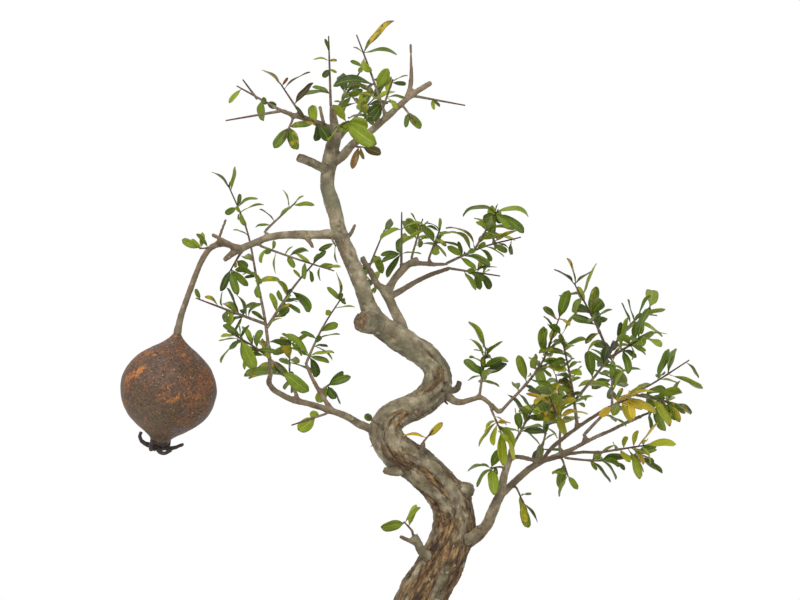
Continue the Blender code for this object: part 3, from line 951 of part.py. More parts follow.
def root_routes(extra):
    """The surface roots: each leaves the trunk's foot, runs out over the mound and dips into it.

    With extra they are that much thicker and longer, to cut the holes that they lie in.
    """
    routes = []
    x, y = MOUND_CENTRE
    for number, degrees in enumerate(ROOT_ANGLES):
        angle = math.radians(degrees)
        size = 1.0 + 0.16 * math.sin(2.4 * number)
        route = []
        for out, height, radius, swing in ((6, 96, 7.0, 0.0), (17, 87, 7.6, 0.02), (27, 78, 6.6, 0.1),
                                           (38, 70, 5.0, 0.24), (48, 62, 3.4, 0.3)):
            route.append((x + out * size * math.cos(angle + swing), y + out * size * math.sin(angle + swing),
                          height, radius * size))
        route = smooth_route(route, ROOT_STEP)
        route[:, 3] += extra
        if extra:
            end = route[-1].copy()
            end[:3] += (route[-1] - route[-2])[:3] / np.linalg.norm((route[-1] - route[-2])[:3]) * extra
            route = np.vstack([route, end])
        routes.append(route)
    return routes


def make_soil():
    """Soil that fills the tray to just under its lip and mounds up round the trunk's foot."""
    floor = FOOT_HEIGHT + POT_FLOOR + FIT_GAP
    edge = POT_HEIGHT - SOIL_BELOW_RIM
    rings = [rounded_ring(inner_inset(floor) + FIT_GAP, floor), rounded_ring(inner_inset(edge) + FIT_GAP, edge)]
    border = rounded_ring(inner_inset(edge) + 2.0, edge + SOIL_EDGE_RISE)
    centre = Vector((*MOUND_CENTRE, MOUND_TOP))
    for share in (0.0, 0.3, 0.6, 0.85):
        ring = []
        for point in border:
            spot = point.lerp(centre, share)
            rise = (MOUND_TOP - edge - SOIL_EDGE_RISE) * math.sin(share * math.pi / 2) ** MOUND_STEEPNESS
            spot.z = edge + SOIL_EDGE_RISE + rise
            spot.z += SOIL_WAVES * noise.noise(spot * 0.05) * min(1.0, 4 * share)
            ring.append(spot)
        rings.append(ring)
    mound = loft("mound", rings)
    foot = TRUNK_LINE[TRUNK_LINE[:, 2] < 2 * MOUND_TOP].copy()
    foot[:, 3] = (foot[:, 3] + FIT_GAP) / math.cos(math.pi / TRUNK_SIDES)
    foot[0, 2] -= FIT_GAP
    holes = [tube("hole", foot, TRUNK_SIDES)]
    holes += [tube("hole", route, LIMB_SIDES) for route in root_routes(FIT_GAP + ROOT_HOLE_MORE)]
    soil = combine("soil", mound, holes, "DIFFERENCE")
    return finish(soil, "soil", material("soil_earth", (0.07, 0.045, 0.03), 0.95))


def make_trunk():
    """The grown wood in one piece: trunk, surface roots, limbs, cut stubs and the spurs of the sprays."""
    trunk = tube("wood", TRUNK_LINE, TRUNK_SIDES)
    for vert in trunk.data.vertices:
        above_soil = min(max((vert.co.z / MM - 100.0) / 20.0, 0.0), 1.0)
        thin_top = min(max((470.0 - vert.co.z / MM) / 200.0, 0.35), 1.0)
        vert.co += noise.noise_vector(vert.co / (TRUNK_GRAIN * MM)) * TRUNK_RELIEF * above_soil * thin_top * MM
    grown = [tube("root", route, LIMB_SIDES) for route in root_routes(0.0)]
    for name, line in LIMB_LINES.items():
        grown.append(tube(name, line, LIMB_SIDES if line[0, 3] > TWIG_RADIUS else TWIG_SIDES))
    for name, spray in SPRAYS.items():
        spur = spray_foot(spray["stems"][0], spray["root"])[0]
        if spur is not None:
            grown.append(tube("spur_" + name, spur, SHOOT_SIDES))
    trunk = combine("wood", trunk, grown)
    return finish(trunk, "trunk", material("bark", (0.19, 0.15, 0.10), 0.85))


def make_fruit():
    """The dry fruit: a ribbed round form on its stalk, and the crown of curled sepals at its foot."""
    axis = Vector(FRUIT_AXIS).normalized()
    top = Vector(LIMBS["fruit_stalk"][-1][:3]) + axis * (FIT_GAP + FRUIT_SEAT)
    across = Vector((0, 1, 0))
    aside = axis.cross(across).normalized()

    def ring(distance, radius, ribbed):
        made = []
        for i in range(FRUIT_SIDES):
            angle = math.tau * i / FRUIT_SIDES
            swell = radius * (1 + ribbed * FRUIT_RIB_DEPTH * math.cos(FRUIT_RIBS * angle + 0.6))
            made.append(top + axis * distance + (aside * math.cos(angle) + across * math.sin(angle)) * swell)
        return made

    fruit = loft("body", [ring(distance, radius, 1.0) for distance, radius in FRUIT_PROFILE])
    finish(fruit, "fruit", material("fruit_rind", (0.30, 0.13, 0.05), 0.6))
    seat = FRUIT_PROFILE[-1][0] + FIT_GAP
    crown = loft("crown", [ring(seat + distance, radius, 0.0) for distance, radius in CALYX_PROFILE])
    sepals = [tube(name, smooth_route(route, SEPAL_STEP), TWIG_SIDES) for name, route in SEPALS.items()]
    crown = combine("crown", crown, sepals)
    finish(crown, "calyx", material("sepal_dark", (0.03, 0.018, 0.016), 0.7))


def make_sprays():
    """Each spray's shoots and leaves, joined in one solid."""
    lines, grown = place_leaves()
    surfaces = {tone: material("leaf_" + tone, colour, 0.55) for tone, colour in TONES.items()}
    for name, spray in SPRAYS.items():
        shoots = [tube("shoot", line, SHOOT_SIDES) for line in lines[name]]
        blades = [leaf_solid("leaf", leaf) for leaf in grown[name] if leaf[4] >= LEAF_LEAST]
        leafy = combine("leafy", shoots[0], shoots[1:] + blades)
        finish(leafy, "spray_" + name, surfaces[spray["tone"]])


make_pot()
make_soil()
make_trunk()
make_fruit()
make_sprays()
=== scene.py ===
# %% [markdown]
# # A pomegranate bonsai
# The tree stands in a shallow clay tray: one winding piece of wood, many leafy shoots and one dry fruit.
# Its plain solids are the frame, and this script grows the finished surfaces inside them.
# Loading the frame first gives every size, so nothing has to be fitted afterwards.

# %% Load the frame
import math
import random

import bmesh
import bpy
import numpy as np
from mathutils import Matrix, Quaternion, Vector, noise


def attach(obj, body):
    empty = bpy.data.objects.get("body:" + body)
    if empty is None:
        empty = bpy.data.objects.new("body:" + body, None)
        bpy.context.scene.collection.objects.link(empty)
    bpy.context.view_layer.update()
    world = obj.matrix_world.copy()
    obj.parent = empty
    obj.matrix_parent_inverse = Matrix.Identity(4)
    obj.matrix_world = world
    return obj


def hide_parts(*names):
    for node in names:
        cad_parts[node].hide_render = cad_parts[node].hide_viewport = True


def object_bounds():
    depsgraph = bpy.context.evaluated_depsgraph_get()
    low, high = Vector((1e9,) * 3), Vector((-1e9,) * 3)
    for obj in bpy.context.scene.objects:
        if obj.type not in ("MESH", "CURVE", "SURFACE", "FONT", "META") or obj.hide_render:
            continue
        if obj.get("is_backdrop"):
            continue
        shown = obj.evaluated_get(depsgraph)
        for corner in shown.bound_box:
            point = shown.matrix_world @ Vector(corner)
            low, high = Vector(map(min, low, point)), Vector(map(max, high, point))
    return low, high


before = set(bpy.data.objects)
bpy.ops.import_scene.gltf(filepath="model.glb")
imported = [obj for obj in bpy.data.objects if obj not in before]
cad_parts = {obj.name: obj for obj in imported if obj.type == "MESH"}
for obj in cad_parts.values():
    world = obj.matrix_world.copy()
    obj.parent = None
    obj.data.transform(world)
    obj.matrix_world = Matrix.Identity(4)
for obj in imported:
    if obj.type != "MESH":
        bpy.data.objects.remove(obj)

MM = 0.001
NOISE_SEED = 4
noise.seed_set(NOISE_SEED)
cad_box = [list(corner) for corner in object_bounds()]
print("CAD box in mm:", [[round(value / MM, 1) for value in corner] for corner in cad_box])

# %% [markdown]
# ## Camera, light and floor
# A small tree is photographed from its front, level with the middle of the trunk and from well back,
# so that the branches keep their proportions. White all round and one large soft lamp give the even
# studio light, and a second weaker lamp keeps the other side of the bark readable.

# %% Camera
VIEW_DISTANCE = 1.6
VIEW_CENTRE = (-0.0132, 0.3542)
SENSOR_WIDTH = 36.0
VIEW_WIDTH = 0.56          # what the picture spans, side to side, at the trunk

camera_data = bpy.data.cameras.new("camera")
camera_data.sensor_width = SENSOR_WIDTH
camera_data.lens = SENSOR_WIDTH * VIEW_DISTANCE / VIEW_WIDTH
camera_data.clip_end = 20.0
camera = bpy.data.objects.new("camera", camera_data)
camera.location = (VIEW_CENTRE[0], -VIEW_DISTANCE, VIEW_CENTRE[1])
camera.rotation_euler = (math.radians(90), 0, 0)
bpy.context.scene.collection.objects.link(camera)
bpy.context.scene.camera = camera
print("lens", round(camera_data.lens, 1), "mm at", VIEW_DISTANCE, "m")

# %% Light
LAMPS = {
    "key_lamp": dict(place=(-0.9, -1.5, 1.9), size=0.9, watts=38.0),
    "side_lamp": dict(place=(1.6, -0.9, 1.0), size=1.2, watts=12.0),
}
AIM = Vector((0, 0, 0.3))

world = bpy.data.worlds.new("white_studio")
world.use_nodes = True
world.node_tree.nodes["Background"].inputs["Color"].default_value = (1, 1, 1, 1)
world.node_tree.nodes["Background"].inputs["Strength"].default_value = 1.0
bpy.context.scene.world = world
bpy.context.scene.view_settings.view_transform = "Standard"
for name, lamp in LAMPS.items():
    data = bpy.data.lights.new(name, "AREA")
    data.energy = lamp["watts"]
    data.size = lamp["size"]
    made = bpy.data.objects.new(name, data)
    made.location = lamp["place"]
    made.rotation_euler = (AIM - made.location).to_track_quat("-Z", "Y").to_euler()
    bpy.context.scene.collection.objects.link(made)
print(len(LAMPS), "lamps under a white sky")

# %% [markdown]
# ## Short ways to write nodes
# Every material and every Geometry Nodes tree below is a chain of nodes. One small function adds a
# node and joins its inputs, which keeps each recipe readable. Colours are named as they look on the
# object, from 0 to 255, and turned into the linear values that the shader reads.

# %% Node helpers
LIGHT_SHARE = 0.62         # the studio light is brighter than 1, so surfaces are this much darker than they look


def node(tree, kind, inputs=None, **settings):
    """Adds a node; inputs are given by name or number, as a value or as another node's output."""
    made = tree.nodes.new(kind)
    for key, value in settings.items():
        setattr(made, key, value)
    for key, value in (inputs or {}).items():
        if isinstance(value, bpy.types.NodeSocket):
            tree.links.new(value, made.inputs[key])
        else:
            made.inputs[key].default_value = value
    return made


def maths(tree, operation, *values):
    """A Math node's result."""
    return node(tree, "ShaderNodeMath", dict(enumerate(values)), operation=operation).outputs[0]


def vectors(tree, operation, *values):
    """A Vector Math node's vector result."""
    return node(tree, "ShaderNodeVectorMath", dict(enumerate(values)), operation=operation).outputs[0]


def scaled(tree, vector, amount):
    """A vector times a number."""
    return node(tree, "ShaderNodeVectorMath", {0: vector, "Scale": amount}, operation="SCALE").outputs[0]


def looks(red, green, blue):
    """The linear colour of a surface that looks like these 0 to 255 values under the studio light."""
    return tuple(LIGHT_SHARE * (value / 255) ** 2.2 for value in (red, green, blue)) + (1.0,)


def ramp(tree, factor, stops):
    """A colour ramp through (place, colour) stops."""
    made = node(tree, "ShaderNodeValToRGB", {0: factor})
    band = made.color_ramp
    while len(band.elements) < len(stops):
        band.elements.new(0.5)
    for element, (place, colour) in zip(band.elements, stops):
        element.position = place
        element.color = colour
    return made.outputs["Color"]


def mask(tree, value, start, end):
    """0 before start, 1 after end, soft between."""
    made = node(tree, "ShaderNodeMapRange", {"Value": value, "From Min": start, "From Max": end})
    made.interpolation_type = "SMOOTHSTEP"
    return made.outputs[0]


def grain_noise(tree, place, scale, detail=4.0, rough=0.55):
    """Cloudy noise from 0 to 1."""
    made = node(tree, "ShaderNodeTexNoise", {"Vector": place, "Scale": scale, "Detail": detail, "Roughness": rough})
    return made.outputs[0]


def blend_colours(tree, factor, first, second, how="MIX"):
    """Two colours mixed by a factor."""
    made = node(tree, "ShaderNodeMix", data_type="RGBA", blend_type=how)
    for place, value in ((0, factor), (6, first), (7, second)):
        if isinstance(value, bpy.types.NodeSocket):
            tree.links.new(value, made.inputs[place])
        else:
            made.inputs[place].default_value = value
    return made.outputs[2]


def start_material(name):
    """A new material, its tree, its shader and its object coordinates."""
    made = bpy.data.materials.new(name)
    made.use_nodes = True
    tree = made.node_tree
    return made, tree, tree.nodes["Principled BSDF"], tree.nodes.new("ShaderNodeTexCoord").outputs["Object"]


def raise_relief(tree, shader, height, depth):
    """Bump of a real depth in metres."""
    bump = node(tree, "ShaderNodeBump", {"Height": height, "Distance": depth, "Strength": 1.0})
    tree.links.new(bump.outputs[0], shader.inputs["Normal"])


def start_tree(name, sockets):
    """A Geometry Nodes tree with its named inputs; gives the tree, its input node and a function that ends it."""
    tree = bpy.data.node_groups.new(name, "GeometryNodeTree")
    tree.interface.new_socket("Geometry", in_out="INPUT", socket_type="NodeSocketGeometry")
    tree.interface.new_socket("Geometry", in_out="OUTPUT", socket_type="NodeSocketGeometry")
    for title, (kind, value) in sockets.items():
        made = tree.interface.new_socket(title, in_out="INPUT", socket_type="NodeSocket" + kind)
        if value is not None:
            made.default_value = value
    tree.interface.new_socket("Surface", in_out="INPUT", socket_type="NodeSocketMaterial")
    given = tree.nodes.new("NodeGroupInput")

    def end(geometry):
        solid = node(tree, "GeometryNodeRealizeInstances", {0: geometry}).outputs[0]
        painted = node(tree, "GeometryNodeSetMaterial", {"Geometry": solid, "Material": given.outputs["Surface"]})
        node(tree, "NodeGroupOutput", {0: painted.outputs[0]})
        return tree

    return tree, given, end


def grow(obj, tree, surface, **values):
    """Runs a tree on an object, with its inputs set by their identifiers."""
    modifier = obj.modifiers.new(tree.name, "NODES")
    modifier.node_group = tree
    wanted = {"Surface": surface} | {title.replace("_", " "): value for title, value in values.items()}
    for socket in tree.interface.items_tree:
        if socket.in_out == "INPUT" and socket.name in wanted:
            modifier[socket.identifier] = wanted[socket.name]
    return modifier


def settle(obj, name, surface):
    """Turns an object and its modifiers into a plain mesh piece at the origin; the first object is removed."""
    bpy.context.view_layer.update()
    mesh = bpy.data.meshes.new_from_object(obj.evaluated_get(bpy.context.evaluated_depsgraph_get()))
    bpy.data.objects.remove(obj, do_unlink=True)
    return add_piece(name, mesh, surface)


def add_piece(name, mesh, surface):
    """A new object for a mesh, with one material and smooth shading."""
    mesh.name = name
    mesh.materials.clear()
    mesh.materials.append(surface)
    mesh.shade_smooth()
    made = bpy.data.objects.new(name, mesh)
    bpy.context.scene.collection.objects.link(made)
    return made


def hand_over(piece, slot, *nodes):
    """The piece rides on the one body and stands for CAD nodes, which it hides; slot is not used."""
    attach(piece, "root")
    if nodes:
        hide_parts(*nodes)
    print(piece.name, len(piece.data.polygons), "faces")


print("helpers ready")

# %% Floor
FLOOR_RADIUS = 0.95

floor_paint, tree, shader, place = start_material("pale_floor")
shader.inputs["Roughness"].default_value = 0.9
soft = grain_noise(tree, place, 6.0)
tree.links.new(ramp(tree, soft, [(0.3, (0.86, 0.86, 0.86, 1)), (0.7, (0.9, 0.9, 0.9, 1))]), shader.inputs["Base Color"])
form = bmesh.new()
bmesh.ops.create_circle(form, cap_ends=True, segments=96, radius=FLOOR_RADIUS)
bmesh.ops.translate(form, verts=form.verts, vec=(0, 0, -0.0003))
mesh = bpy.data.meshes.new("floor")
form.to_mesh(mesh)
form.free()
floor = add_piece("floor", mesh, floor_paint)
floor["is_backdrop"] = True
print("floor", FLOOR_RADIUS, "m across its radius")

# %% [markdown]
# ## The lines that the tree grows on
# A tree is easiest to describe by its middle lines. Each line is a few given points, with the
# wood's radius there, in millimetres. A smooth curve through them is read at even distances, and the
# same lines place the bark, the shoots and every leaf, so all of them agree.

# %% Wood lines
FIT_GAP = 0.35            # air between two pieces of the frame that touch on the real tree
TRUNK_STEP = 11.0
LIMB_STEP = 17.0
ROOT_PLUG = 46.0          # the height where the buried foot of the trunk ends
ROOT_STEP = 9.0
ROOT_ANGLES = (14, 78, 142, 196, 250, 312)
TRUNK_ROUTE = [
    (-23, 2, ROOT_PLUG, 17.5), (-23, 3, 62.5, 18.9), (-22.5, 3, 73.5, 20.3), (-20, 3, 85, 19.6), (-16, 3, 99.5, 18.6),
    (-9.5, 3, 118, 17.9), (1.5, 4, 143.5, 17.2), (13, 5.5, 164.5, 16.2), (21.5, 7, 182, 15),
    (25, 8.5, 198, 14.3), (22.5, 7, 213, 14.1), (12, 3, 226.5, 12.8), (-3.5, -3, 240.5, 12.4),
    (-17.5, -8.5, 251, 11.7), (-23.5, -11, 262, 11.1), (-20, -10, 271.5, 9.9),
    (-9.5, -5.5, 277.5, 9.3), (3.5, 0, 283.5, 9.7), (12, 5.5, 292.5, 10.1), (13, 10, 303.5, 9.3),
    (6, 10, 313.5, 9.1), (-5.5, 8.5, 322, 8.9), (-17.5, 7, 329.5, 8.7), (-28.5, 4, 338, 7.7),
    (-35.5, 3, 349.5, 5.9), (-39, 1.5, 361, 5.5), (-47, 0, 381, 5.5), (-55, -1.5, 400.5, 5.1),
    (-58.5, -1.5, 414.5, 5.1), (-61.5, -3, 425.5, 5.5), (-64, -3, 435.5, 4.8), (-63, -3, 447, 5.3),
    (-61, -1.5, 459, 4.8), (-58.5, 0, 471, 4.1), (-60, 1.5, 482.5, 2.7), (-61.5, 1.5, 490, 1.5)
]
LIMBS = {
    "knob_cut": [
        (-27, 3, 336, 6.7), (-35.5, -4, 338, 7.3), (-40.5, -10, 340, 7)
    ],
    "burl": [
        (25.5, 5.5, 216, 7.7), (31.5, 3, 220.5, 6.7), (36.5, 0, 221, 4.9)
    ],
    "stub_low_left": [
        (-7.5, -5.5, 235.5, 3.2), (-16.5, -14, 235, 3), (-24, -19.5, 236.5, 2.8)
    ],
    "stub_dark_right": [
        (20, 11, 290, 2.8), (27, 17, 291, 2.4), (29, 18, 297, 2)
    ],
    "stub_sprout": [
        (10, 0, 172, 3.8), (2, -11, 179.5, 3.2), (-1.5, -17, 187.5, 3), (-3.5, -18, 191, 3.1)
    ],
    "stub_sprout_arm": [
        (0, -15.5, 184.5, 1.8), (-7.5, -19.5, 188, 1.7), (-13, -24, 191, 1.5)
    ],
    "stub_inner_right": [
        (-3.5, -3, 240.5, 2.8), (1.5, -11, 248, 2.2), (3, -15.5, 255.5, 1.9)
    ],
    "stub_limb_foot": [
        (31, 3, 185, 4.2), (38.5, -8.5, 190, 3.8), (42.5, -14, 195.5, 3.4)
    ],
    "stub_crown_left": [
        (-61.5, -3, 444.5, 3.9), (-69, -8.5, 447, 3.2), (-76.5, -14, 450.5, 3.1), (-84, -18, 453, 3)
    ],
    "stub_spur_right": [
        (-54.5, 0, 396, 2.4), (-48.5, 5.5, 400, 1.7), (-44.5, 8.5, 407.5, 1.3)
    ],
    "second": [
        (-9, 11, 327.5, 4.4), (-12, 14, 336, 4), (-16, 18, 344.5, 3.6), (-19.5, 19.5, 351.5, 3.5),
        (-23, 19.5, 358.5, 3.6), (-26, 19.5, 362.5, 3), (-29.5, 18, 365.5, 2.5),
        (-33.5, 17, 373.5, 2.3), (-38.5, 14, 381, 2.3), (-40, 12.5, 384.5, 2.3)
    ],
    "second_up": [
        (-22.5, 19.5, 359, 3.1), (-18, 17, 367.5, 3), (-12.5, 12.5, 374.5, 2.8),
        (-5.5, 8.5, 380.5, 2.5), (-0.5, 7, 383, 2.3)
    ],
    "second_far": [
        (-7, 8.5, 379.5, 2.2), (1, 11, 380, 1.8), (8.5, 14, 379.5, 1.6), (19.5, 17, 379.5, 1.4)
    ],
    "second_low": [
        (-21.5, 19.5, 356.5, 2.8), (-16, 25, 359, 2.4), (-9, 29.5, 363, 2.1), (-0.5, 33.5, 368, 2),
        (10.5, 36.5, 373, 1.8), (22.5, 38, 377, 1.6)
    ],
    "fruit_branch": [
        (-51.5, -1.5, 397.5, 3.5), (-61, -8.5, 400, 3.5), (-70, -12.5, 399.5, 3.1),
        (-79, -14, 399.5, 2.9), (-88, -15.5, 399.5, 2.8), (-95.5, -17, 399, 2.7),
        (-106, -17, 397, 2.6), (-114.5, -17, 393.5, 2.7), (-120.5, -17, 391, 2.8),
        (-126, -17, 388.5, 2.5), (-131.5, -19.5, 384.5, 2.1), (-135, -21, 381.5, 1.9)
    ],
    "fruit_stalk": [
        (-122.5, -17, 390, 2.2), (-130.5, -17, 392, 2.1), (-136.5, -17, 393, 2.1),
        (-142.5, -17, 391.5, 2.1), (-147.5, -17, 386.5, 2.1), (-152.5, -17, 377, 2.1),
        (-157, -17, 365.5, 2.1), (-161.5, -17, 353, 2.1), (-165, -17, 343, 2.4),
        (-166.5, -17, 335.5, 2.8), (-167.5, -17, 330.5, 3.1)
    ],
    "cut_twig_left": [
        (-125, -19.5, 389.5, 1.8), (-134.5, -22.5, 395, 1.6), (-143, -25, 399.5, 1.5)
    ],
    "cut_twig_up": [
        (-140, -17, 391.5, 1.5), (-137.5, -15.5, 400.5, 1.2), (-134, -12.5, 410.5, 1.1)
    ],
    "under_spur": [
        (-79, -14, 398.5, 2.1), (-75, -17, 393.5, 1.6), (-73.5, -18, 390, 1.2)
    ],
    "mid_left": [
        (-23.5, -11, 259.5, 3.5), (-34.5, -14, 265, 3.2), (-42.5, -18, 269, 2.9),
        (-50.5, -22.5, 274, 2.7), (-60.5, -26.5, 278, 2.5), (-70.5, -29.5, 281.5, 2.3),
        (-82.5, -31, 284.5, 2.3), (-88, -31, 286, 2.2), (-93, -31, 288.5, 2.1),
        (-100, -29.5, 292.5, 2.1), (-104, -28, 298, 1.9)
    ],
    "mid_left_second": [
        (-82.5, -31, 284, 1.7), (-85.5, -33.5, 292.5, 1.5), (-88.5, -36.5, 299.5, 1.4)
    ],
    "mid_left_third": [
        (-60, -26.5, 278, 2.1), (-65, -22.5, 285, 1.8), (-69, -18, 291, 1.7), (-74, -15.5, 300, 1.5),
        (-78, -14, 309, 1.4)
    ],
    "right_high": [
        (13.5, 5.5, 290.5, 4.2), (20.5, 3, 286.5, 3.4), (25, -3, 283.5, 2.8), (30, -7, 283, 2.3),
        (36, -11, 285, 1.9), (43, -15.5, 286.5, 1.8), (49, -21, 282.5, 1.7), (55, -25, 276.5, 1.5)
    ],
    "right_low": [
        (29, 11, 181.5, 5.6), (37.5, 8.5, 186, 5.1), (43, 5.5, 190.5, 4.5), (48, 3, 196.5, 4),
        (51, 0, 204.5, 3.7), (54.5, -1.5, 213, 3.6), (57.5, -3, 219.5, 3.3), (58.5, -4, 226.5, 3),
        (60.5, -7, 235.5, 2.8), (63, -10, 243.5, 2.6), (64.5, -12.5, 251.5, 2.3)
    ],
    "right_low_fork": [
        (55.5, -1.5, 216.5, 2.9), (61, 1.5, 221, 2.7), (66, 4, 225.5, 2.5), (72.5, 7, 231, 2.5),
        (79.5, 8.5, 236.5, 2.4), (87.5, 11, 241, 2.2)
    ],
    "right_bridge": [
        (63, -10, 245, 1.9), (70.5, -4, 244.5, 1.9), (78.5, 4, 242.5, 1.8), (87.5, 11, 240.5, 1.8)
    ],
    "right_reach_front": [
        (86, 11, 240.5, 1.8), (94.5, 0, 252, 1.7), (102.5, -8.5, 259.5, 1.6), (109, -14, 265, 1.5),
        (118.5, -18, 272, 1.5), (129, -22.5, 279, 1.4)
    ],
    "right_reach_back": [
        (86, 11, 240.5, 2), (101, 22.5, 245, 1.8), (112.5, 32, 249, 1.7), (124.5, 42, 254.5, 1.7),
        (139.5, 53, 260, 1.5), (152.5, 63, 265.5, 1.5), (163.5, 70, 269.5, 1.4)
    ],
    "right_reach_low": [
        (87, 11, 240.5, 1.8), (99.5, 7, 244, 1.5), (110, 3, 247, 1.5), (127, -5.5, 248, 1.3)
    ],
    "crown_left": [
        (-59.5, 0, 472.5, 2.9), (-66, -5.5, 475.5, 2.5), (-72.5, -11, 478, 2.2),
        (-80.5, -17, 480.5, 2), (-87.5, -22.5, 482, 1.8), (-94.5, -26.5, 484.5, 1.7)
    ],
    "crown_right": [
        (-60, -1.5, 450.5, 3.5), (-53.5, -4, 454.5, 3.1), (-46, -11, 462.5, 2.9),
        (-39, -15.5, 467, 2.7), (-32.5, -18, 472, 2.6), (-25.5, -22.5, 477.5, 2.4),
        (-19, -25, 483, 2.3), (-12.5, -28, 489, 2.2), (-6, -29.5, 494.5, 2.1), (1, -31, 499, 2),
        (8.5, -32, 503.5, 1.9)
    ],
    "crown_right_stub": [
        (-8.5, -29.5, 493.5, 1.9), (-6, -29.5, 501, 1.9), (-5.5, -28, 516, 1.3), (-6, -26.5, 531, 1.1)
    ],
    "crown_back": [
        (-59.5, 1.5, 462, 2.5), (-55, 14, 469.5, 2.1), (-51, 28, 476.5, 1.8), (-47.5, 42, 483, 1.6)
    ],
    "crown_stub": [
        (-61.5, -1.5, 466, 2), (-65.5, -19.5, 474.5, 1.5), (-68.5, -25, 488, 1.3)
    ],
}
MOUND_CENTRE = (-22.0, 2.0)

# %% [markdown]
# ## The shoots
# A spray is a thin shoot, or a small family of shoots, that ends a limb. Its entry names how thick it
# is at the root, its leaves (pairs on a shoot, leaves at the tip, length), its tone and its routes.

# %% Shoots
TIP_RADIUS = 0.8
SHOOT_STEP = 32.0
SPUR_CLEAR = 1.0          # bare wood showing between a limb's bark and the foot of its spray
LIMB_END_REACH = 1.6      # a spray whose route starts this near a limb's end goes straight on from it
STRAIGHT_ON = 0.6         # if it also turns less than this, as a cosine
THIN_END = 2.0            # and if the limb's end is under this many times the shoot's radius
SPUR_LEAST = 1.5          # a spur's least length, the step it grows by, and the shoot it leaves at least
SPUR_GROWS = 0.5
SHOOT_LEAST = 3.0
SPUR_SWELL = 1.1          # a spur's radius, as a share of its shoot's
SHOOT_HEAD = 2.0          # the straight first stretch of a shoot
SIDE_SHOOT = 0.85         # a side shoot's radius, as a share of the first shoot's
LEAF_MISSING = 0.42       # share of the leaves that have dropped
LEAF_SLIMNESS = 0.35      # width over length
LEAF_RIB = 0.85           # a blade's thickness along its rib
LEAF_RIB_ABOVE = 0.6      # the share of it that stands above the blade's middle
LEAF_TIP_HALF = 0.3       # half of the width kept clear round a leaf's tip
PAIR_RUN = (0.24, 0.68)   # the leaf pairs start at this share of a shoot, and take up this share
PAIR_SPREAD = (38, 72)    # degrees between a shoot and its paired leaves, and its tip's leaves
TUFT_SPREAD = (12, 46)
OWN_OVERLAP = 0.4         # leaves of one spray may cover each other by this share of their width
LEAF_AIR = 0.35           # least air between a leaf and anything of another piece
LEAF_TRIES = 30
LEAF_RINGS = ((0.0, 0.0), (0.36, 1.0), (0.72, 0.74))   # place along the leaf, share of its full width
LEAF_ROOT_HALF = 0.5
TREE_REACH = 210.0        # no leaf reaches further to the left or right of the middle
LEAF_COVER = (0.15, 0.3, 0.45, 0.6, 0.8, 1.0)   # where along a leaf its air is tested
LEAF_SEED = 7
LEAF_LEAST = 8.0          # smaller leaves are too slight for the solids, and are left to the render
PIXEL = 0.7               # one pixel of the photo, at Y = 0
PHOTO_MIDDLE = (400, 300)
VIEW_AXIS = (-13.2, 354.2)   # x and z of the line from the camera through the photo's middle
VIEW_DISTANCE = 1600.0
SEEN_SLIMNESS = 0.3       # a leaf that shows slimmer than this is turned edge-on
SEEN_DEPTH = (-7.0, 4.0)  # how far behind its root the tip of a leaf in the photo may lie
SEEN_ROOT_CLEAR = 4.0     # bare shoot between a spray's foot and its first leaf
STRAY_DEPTH = 16.0
STRAY_PIXELS = 6.0
